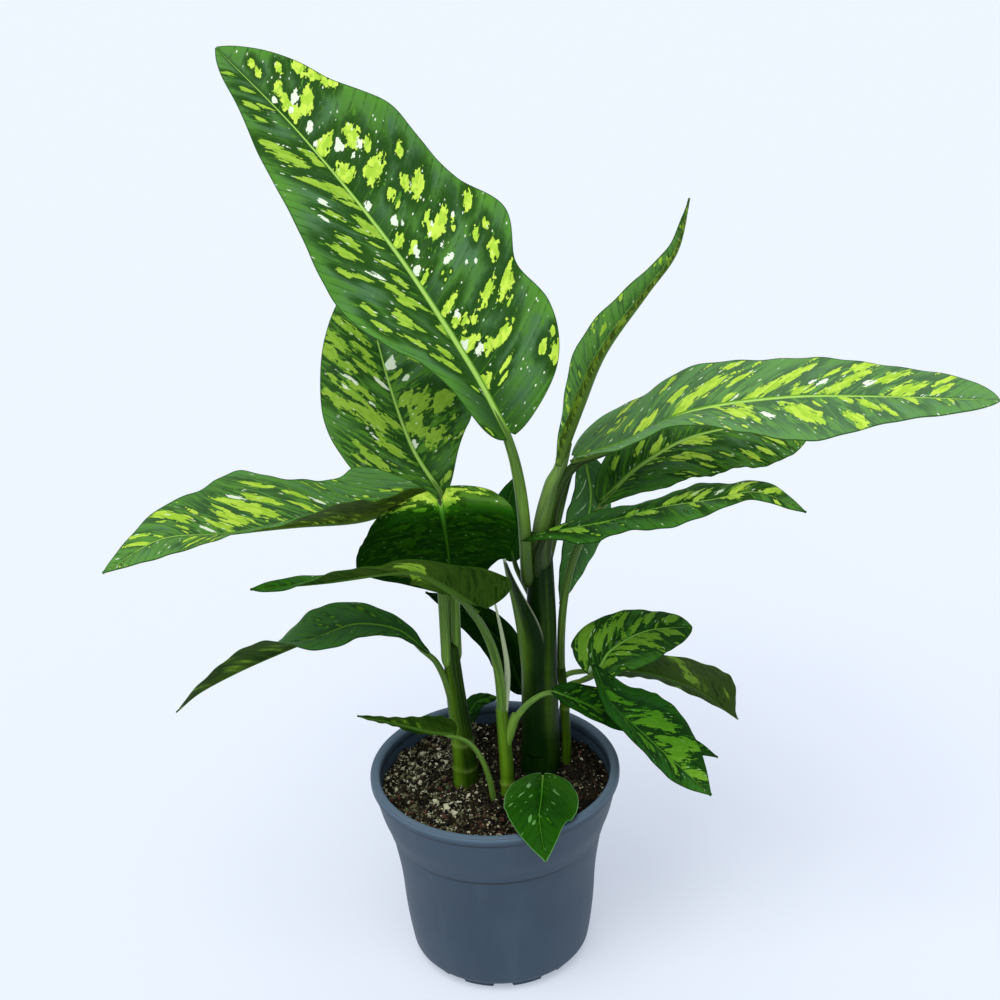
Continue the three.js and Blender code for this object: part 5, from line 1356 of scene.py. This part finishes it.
# Levels, from and to: where its edges sweep to the tip, where it gets loose and thick, and where its
# colours change: the pale tip, the pale edge, and the painted sunlit band on its left.
LEFT_SWEEP = (272.0, SHEATH_TOP)
RIGHT_SWEEP = (234.0, SHEATH_TOP - 1)
LOOSENING = (160.0, 200.0)
THICKENING = (SHEATH_LOW, 185.0)
PALE_TIP = (299.0, 302.0)
PALE_EDGE = (235.0, 260.0)
LIT_LEFT = (170.0, 225.0)


def main_sheath(piece, cane):
    """The old sheath on the left of the main cane. It hugs the cane at the bottom and stands off it at
    the top. Its right edge runs straight up, then sweeps over to a torn tip at the left."""
    u = np.linspace(0, 1, SHEATH_ROWS)[:, None]
    v = np.linspace(0, 1, SHEATH_COLUMNS)[None, :]
    level = SHEATH_LOW + (SHEATH_TOP - SHEATH_LOW) * u
    left_reach, right_reach = SHEATH_REACH
    left_turn = SHEATH_TIP_TURN - left_reach * (1 - soft_step(level, *LEFT_SWEEP))
    right_turn = SHEATH_TIP_TURN + SHEATH_TIP_WIDTH + right_reach * (1 - soft_step(level, *RIGHT_SWEEP))
    turn = np.radians(left_turn + (right_turn - left_turn) * v)
    path, radii = cane["path"][1:], cane["radii"][1:]
    up_cane = (level - path[0][2]) / (path[-1][2] - path[0][2])
    edge = soft_step(v, 0, 0.3) * soft_step(1 - v, 0, 0.3)
    thin, thicker = SHEATH_THICKNESS
    thick = thin + thicker * edge * soft_step(level, *THICKENING) * (1 - 0.6 * u)
    flare = np.clip((level - SHEATH_FLARE_FROM) / SHEATH_FLARE_HEIGHT, 0, 1) ** 1.6
    off = soft_step(level, *LOOSENING) + SHEATH_FLARE * flare + smooth(radii, up_cane)
    outward = np.stack([np.cos(turn), np.sin(turn), np.zeros_like(turn)], -1)
    centre = smooth(path, up_cane) * np.array([1, 1, 0]) + level[..., None] * np.array([0, 0, 1])
    outer, inner = (centre + outward * (off + side * thick / 2)[..., None] for side in (1, -1))
    pale = soft_step(level, *PALE_TIP) + 0.35 * soft_step(v, 0.93, 1.0) * soft_step(level, *PALE_EDGE)
    # A painted sunlit band on the left part of the sheath, above a level.
    tone = 0.03 + 0.5 * (1 - soft_step(v, 0.3, 0.75)) * soft_step(level, *LIT_LEFT)
    uv = np.stack(np.broadcast_arrays(1.6 * v + 0 * u, 5 * u + 0 * v), -1).reshape(-1, 2)
    piece.add(np.concatenate([outer.reshape(-1, 3), inner.reshape(-1, 3)]),
              sheet_faces(SHEATH_ROWS, SHEATH_COLUMNS), uv=np.tile(uv, (2, 1)),
              pale=np.tile(pale.reshape(-1), 2), tone=np.tile(tone.reshape(-1), 2), ring=0.0)


def make_cane(name, cane):
    """The cane, the tubes grown on it and, on the main cane, its sheath, as one mesh."""
    piece = Piece(name)
    cane_tube(piece, cane)
    for tube in cane.get("tubes", []):
        looks = dict(tube, tone=[tube["tone"]], lit=[0.15], lit_at=250, pale=tube.get("pale", 0.05))
        cane_tube(piece, looks, TUBE_SIDES, TUBE_STATIONS)
    if name == "cane_main":
        main_sheath(piece, cane)
    piece.finish([CANE_SKIN], node=name)


for cane_name, cane_shape in CANES.items():
    make_cane(cane_name, cane_shape)

# %% [markdown]
# The pot is injection-moulded and round, so it is one profile turned about the axis. The profile runs
# from the middle of the underside, up the outside, over the rim and down the inside to the middle of the
# floor. Each of its corners has its own rounding. The drainage notches are worked in as the profile
# turns: where a notch is, the foot is lifted.

# %% The pot
# Corners of its profile: radius, height and rounding.
POT_FOOT = [(1, 0, 0), (45, 0, 0), (52, 0, 0), (54.7, 0, 0.8), (55, 5.4, 0.6), (59, 5.8, 1.2),
            (61.4, 9, 2)]
POT_WALL = [(63.6, 22, 8), (65.8, 42, 8), (66.9, 62, 6), (68.4, 76, 8), (71.4, 94, 4)]
POT_STEP = [(72.2, 100.6, 0.9), (73.5, 101.6, 0.8), (74.8, 107, 4), (78.6, 117, 6)]
POT_RIM = [(83.2, 137.8, 0.8), (84.9, 139.2, 0.7), (85, 143.6, 1.3), (83.6, 145, 0.9), (80.2, 145, 0.9)]
POT_INSIDE = [(78.5, 143.4, 1.1), (76.6, 117, 5), (70.2, 97, 4), (66, 76, 6), (60, 12, 4), (52, 7.4, 3),
              (50, 2.4, 1), (1, 2.4, 0)]
POT_SIDES = 240
NOTCHES = 10
NOTCH_HALF_ANGLE = math.radians(6.2)
NOTCH_HEIGHT = 4.0
NOTCH_FROM, NOTCH_TO = 44.0, 55.2
PLASTIC_DARK = colour(50, 66, 80)
PLASTIC_LIGHT = colour(58, 75, 89)
PLASTIC_STREAK = colour(74, 88, 98)
PLASTIC_RIM_HIGHLIGHT = colour(104, 126, 140)
PLASTIC_SHADOW_LINE = colour(24, 33, 42)
PLASTIC_DUST = colour(140, 146, 142)
# Heights of the two painted shadow lines, under the step and under the rim.
SHADOW_LINES = (0.1008, 0.1383)
RIM_HIGHLIGHT = (0.1405, 0.1445)  # metres, as for the lines


def rounded(corners, steps=5):
    """The outline through corners (x, y, size), each cut back by its size and rounded by a short curve."""
    corners = np.array(corners, float)
    line = []
    for i, (x, y, size) in enumerate(corners):
        here = np.array([x, y])
        if size == 0:
            line.append(here[None])
            continue
        before = unit(corners[i - 1, :2] - here) * size
        after = unit(corners[i + 1, :2] - here) * size
        t = np.linspace(0, 1, steps)[:, None]
        line.append(here + before * (1 - t) ** 2 + after * t ** 2)
    return np.concatenate(line)


def turned(profile, turn):
    """Points of a profile (radius, height) turned about the vertical axis to each angle."""
    radius, height = profile[:, 0][:, None], profile[:, 1][:, None]
    return np.stack([radius * np.cos(turn), radius * np.sin(turn), height + 0 * turn], -1)


def pot_skin():
    """Blue-grey plastic with faint upright streaks and dust, a painted highlight on the rim, and two
    painted shadow lines, under the step and under the rim.
    """
    material, tree, shader = new_material("pot_plastic")
    place = object_place(tree)
    height = add_node(tree, "ShaderNodeSeparateXYZ", {0: place}, output=2)
    cloud = noise(tree, place, 14, detail=4)
    grain = noise(tree, place, 620, detail=2)
    streak = noise(tree, place, (60, 60, 6))
    dust = noise(tree, place, (220, 220, 90), detail=4, roughness=0.7)
    skin = blend(tree, ramp(tree, cloud, 0.3, 0.7), PLASTIC_DARK, PLASTIC_LIGHT)
    skin = blend(tree, ramp(tree, streak, 0.5, 0.8, 0, 0.3), skin, PLASTIC_STREAK)
    # A painted highlight along the top of the rim.
    skin = blend(tree, ramp(tree, height, *RIM_HIGHLIGHT, 0, 0.5), skin, PLASTIC_RIM_HIGHLIGHT)
    # Two painted shadow lines: under the step of the wall and under the rim's band.
    for level in SHADOW_LINES:
        from_shadow_line = maths(tree, "ABSOLUTE", maths(tree, "SUBTRACT", height, level))
        skin = blend(tree, ramp(tree, from_shadow_line, 0.0018, 0.0005, 0, 0.85), skin, PLASTIC_SHADOW_LINE)
    skin = blend(tree, ramp(tree, dust, 0.7, 0.76, 0, 0.4), skin, PLASTIC_DUST)
    bumps = maths(tree, "MULTIPLY_ADD", grain, 0.25, streak)
    feed(tree, shader, Base_Color=skin, Roughness=ramp(tree, cloud, 0.3, 0.7, 0.46, 0.56),
         Normal=relief(tree, bumps, 0.18, 0.0004), Specular_IOR_Level=0.25)
    return material


def make_pot():
    """The turned profile, with the foot's points lifted to the notch's height near each notch."""
    profile = rounded(POT_FOOT + POT_WALL + POT_STEP + POT_RIM + POT_INSIDE)
    points = turned(profile, circle(POT_SIDES) - math.pi / 2)
    spacing = FULL_TURN / NOTCHES
    from_notch = np.abs((circle(POT_SIDES) + spacing / 2) % spacing - spacing / 2)
    notch = 1 - soft_step(from_notch, NOTCH_HALF_ANGLE * 0.88, NOTCH_HALF_ANGLE * 1.12)
    radius, height = profile[:, 0], profile[:, 1]
    in_foot = ((radius > NOTCH_FROM) & (radius < NOTCH_TO) & (height < NOTCH_HEIGHT))[:, None]
    lifted = points[..., 2] + (NOTCH_HEIGHT - points[..., 2]) * notch
    points[..., 2] = np.where(in_foot, lifted, points[..., 2])
    piece = Piece("pot")
    piece.add(*capped(points))
    piece.finish([pot_skin()], node="pot")


make_pot()

# %% [markdown]
# Potting soil is a heap of peat clumps, bark and wood fibre, full of deep gaps. One bumpy surface gives
# its mounded shape, and goes on down the inside of the pot.

# %% Soil surface
SOIL_RADIUS = 78.1
SOIL_EDGE_HEIGHT = 131.0
DARK_TONE, BROWN_TONE, OLIVE_TONE, PALE_TONE = 0.1, 0.4, 0.6, 0.9
SOIL_MOUND = 4.0
SOIL_MOUND_RADIUS = 78.5
SOIL_FALL = 1.2  # the surface between the crumbs lies this much under the packed soil's
SOIL_CALM = 3.0  # the lumps die out this near the pot
# Radius and height, down the inside of the pot.
SOIL_SIDE = [(71.5, 110), (68, 90), (59.5, 13), (51.5, 8), (49.5, 3)]
SOIL_RINGS, SOIL_SIDES = 90, 260


def soil_height(x, y):
    """The packed soil's own height: a mound with two crossing sets of waves."""
    mound = SOIL_MOUND * (1 - (x * x + y * y) / SOIL_MOUND_RADIUS ** 2)
    waves = 0.9 * np.sin(x / 6.3 + 1.2) * np.sin(y / 7.1)
    return SOIL_EDGE_HEIGHT + mound + waves + 0.7 * np.sin((x + y) / 4.7) * np.cos((x - y) / 8.3)


def bumpy_height(x, y, radius):
    """Fine unevenness on the mound: sixteen waves in different directions, the shorter the lower."""
    angles = np.arange(16) * 2.4
    periods = np.linspace(8.5, 1.6, 16)
    waves = [np.sin((x * np.cos(a) + y * np.sin(a)) * FULL_TURN / p + 5 * a) * p
             for a, p in zip(angles, periods)]
    calm = soft_step(SOIL_RADIUS - radius, 0, SOIL_CALM)
    return soil_height(x, y) - SOIL_FALL + 0.1 * np.sum(waves, axis=0) * calm


def add_soil_body(piece):
    """Rings out to the pot and down its inside, closed at the middle of the top and of the bottom."""
    radius = np.linspace(0.5, SOIL_RADIUS, SOIL_RINGS)[:, None]
    turn = circle(SOIL_SIDES)[None, :]
    x, y = radius * np.cos(turn), radius * np.sin(turn)
    top = np.stack([x, y, bumpy_height(x, y, radius)], -1)
    side = turned(np.array(SOIL_SIDE), circle(SOIL_SIDES))
    points, wall, ends = capped(np.concatenate([top, side]))
    piece.add(points, wall[:, ::-1], ends[:, ::-1], tone=DARK_TONE)


print("the soil's middle lies", round(float(soil_height(0, 0))), "mm up")

# %% [markdown]
# Over the surface lie loose crumbs of very different sizes, and thin fibres. Each is a lump of twenty or
# eight faces, pressed flat or drawn out by its own amounts, and sunk partly into the surface. Tone, a
# number that each crumb carries, is its kind: reddish brown and cream in front, mostly pale and olive on
# the left as painted sunlight, and nearly black on the right as painted shade under the leaves. All
# lumps of one kind are worked out at once.

# %% Crumbs
SOIL_SEED = 7
CRUMBS = 4600
SMALL_CRUMBS = 5600
FIBRES = 700
OCTAHEDRON = [(0, 0, 1), (1, 0, 0), (0, 1, 0), (-1, 0, 0), (0, -1, 0), (0, 0, -1)]
OCTAHEDRON_FACES = [(0, 1, 2), (0, 2, 3), (0, 3, 4), (0, 4, 1), (5, 2, 1), (5, 3, 2), (5, 4, 3), (5, 1, 4)]


def icosahedron():
    """Twelve points, a pole at each end and two rings of five half a step apart, and its twenty faces."""
    low, reach = 1 / math.sqrt(5), 2 / math.sqrt(5)
    rings = [np.stack([reach * np.cos(turn), reach * np.sin(turn), np.full(5, height)], -1)
             for turn, height in ((circle(5), low), (circle(5) + math.pi / 5, -low))]
    points = np.concatenate([[[0, 0, 1]], *rings, [[0, 0, -1]]])
    faces = []
    for a in range(1, 6):
        b = a % 5 + 1
        faces += [(0, a, b), (a, a + 5, b), (b, a + 5, b + 5), (a + 5, 11, b + 5)]
    return points, faces


def soil_tones(x, y, rng):
    """A tone for each crumb, with shares that depend on its place."""
    # More pale and olive crumbs on the left paint sunlight there; the nearly black right is painted shade.
    left, right = soft_step(-x, 0, 35), soft_step(x, -5, 25)
    front = soft_step(-y, 20, 55) * (1 - left) * (1 - right)
    waves = np.sin(x / 4.1 + 2 * np.sin(y / 5.3)) * np.sin(y / 3.7 + 1.7 * np.sin(x / 6.1))
    clump = soft_step(waves, -0.4, 0.5)
    pale = 0.04 + 0.42 * left * clump + 0.22 * front * clump + 0.03 * right
    olive = 0.12 + 0.3 * left
    brown = 0.12 + 0.35 * front
    pick = rng.random(x.shape)
    chosen = [pick < pale, pick < pale + olive, pick < pale + olive + brown]
    return np.select(chosen, [PALE_TONE, OLIVE_TONE, BROWN_TONE], DARK_TONE)


def scattered(count, rng):
    """Places spread evenly over the soil's disc."""
    away, turn = np.sqrt(rng.random(count)) * (SOIL_RADIUS - 1.2), rng.uniform(0, FULL_TURN, count)
    return away * np.cos(turn), away * np.sin(turn)


def add_grains(piece, x, y, shape, sink, rng, body, body_faces):
    """One lump per place: a body's points are pushed in and out, sized, leaned, spun and laid down."""
    count, corners = len(x), len(body)
    dents = 1 + 0.3 * rng.normal(size=(count, corners, 1)).clip(-1.3, 1.3)
    grain = np.array(body, float)[None] * dents * shape[:, None]
    spin, lean = rng.uniform(0, FULL_TURN, count)[:, None], rng.normal(0, 0.45, count)[:, None]
    gx = grain[..., 0] * np.cos(lean) - grain[..., 2] * np.sin(lean)
    gz = grain[..., 0] * np.sin(lean) + grain[..., 2] * np.cos(lean)
    level = bumpy_height(x, y, np.hypot(x, y)) + sink
    points = np.stack([
        x[:, None] + gx * np.cos(spin) - grain[..., 1] * np.sin(spin),
        y[:, None] + gx * np.sin(spin) + grain[..., 1] * np.cos(spin),
        level[:, None] + gz], -1)
    away = np.linalg.norm(points[..., :2], axis=-1, keepdims=True)
    points[..., :2] *= np.minimum(1, (SOIL_RADIUS + 0.1) / away)
    faces = np.array(body_faces)[None] + corners * np.arange(count)[:, None, None]
    piece.add(points, faces.reshape(-1, 3), tone=np.repeat(soil_tones(x, y, rng), corners))


def add_crumbs(piece):
    """The large crumbs, the small ones and the fibres, always from the same seed."""
    rng = np.random.default_rng(SOIL_SEED)
    x, y = scattered(CRUMBS, rng)
    size = np.clip(rng.lognormal(-0.25, 0.45, CRUMBS), 0.4, 2.6)
    shape = rng.uniform([0.8, 0.5, 0.4], [1.7, 1.1, 0.9], (CRUMBS, 3)) * size[:, None]
    add_grains(piece, x, y, shape, size * 0.1, rng, *icosahedron())
    x, y = scattered(SMALL_CRUMBS, rng)
    shape = rng.uniform([0.4, 0.3, 0.3], [1.2, 0.8, 0.7], (SMALL_CRUMBS, 3))
    add_grains(piece, x, y, shape, rng.uniform(0, 0.9, SMALL_CRUMBS), rng, OCTAHEDRON, OCTAHEDRON_FACES)
    x, y = scattered(FIBRES, rng)
    shape = rng.uniform([1.5, 0.12, 0.1], [4.5, 0.3, 0.25], (FIBRES, 3))
    add_grains(piece, x, y, shape, rng.uniform(0.2, 1.2, FIBRES), rng, OCTAHEDRON, OCTAHEDRON_FACES)


print(CRUMBS + SMALL_CRUMBS, "crumbs and", FIBRES, "fibres")

# %% [markdown]
# The soil's skin gives each kind of crumb its own pair of colours, and a fine grain mixes the two. It
# stays rough and faceted, because smooth shading would turn the crumbs into pebbles.

# %% Build the soil
SOIL_DARK = colour(6, 6, 4), colour(44, 38, 24)
CRUMB_KINDS = [  # the tone from which a kind starts, its dark and its light colour
    (0.25, colour(44, 26, 18), colour(96, 64, 48)),
    (0.5, colour(58, 60, 38), colour(122, 122, 86)),
    (0.75, colour(154, 152, 118), colour(220, 216, 184)),
]


def soil_skin():
    """Four kinds of crumb, each a mix of two colours, chosen by the crumb's tone."""
    material, tree, shader = new_material("potting_soil")
    place = object_place(tree)
    tone = attribute(tree, "tone")
    coarse = noise(tree, place, 160, detail=5, roughness=0.65)
    fine = noise(tree, place, 1300, detail=4, roughness=0.7)
    grain = ramp(tree, fine, 0.3, 0.7)
    skin = blend(tree, ramp(tree, coarse, 0.35, 0.65), *SOIL_DARK)
    for start, dark, light in CRUMB_KINDS:
        is_kind = ramp(tree, tone, start - 0.01, start + 0.01)
        skin = blend(tree, is_kind, skin, blend(tree, grain, dark, light))
    bumps = maths(tree, "MULTIPLY_ADD", fine, 0.5, coarse)
    feed(tree, shader, Base_Color=skin, Roughness=ramp(tree, coarse, 0.3, 0.7, 0.82, 0.95),
         Normal=relief(tree, bumps, 0.7, 0.0012), Specular_IOR_Level=0.15)
    return material


soil = Piece("soil")
add_soil_body(soil)
add_crumbs(soil)
soil.finish([soil_skin()], node="soil", is_smooth=False)
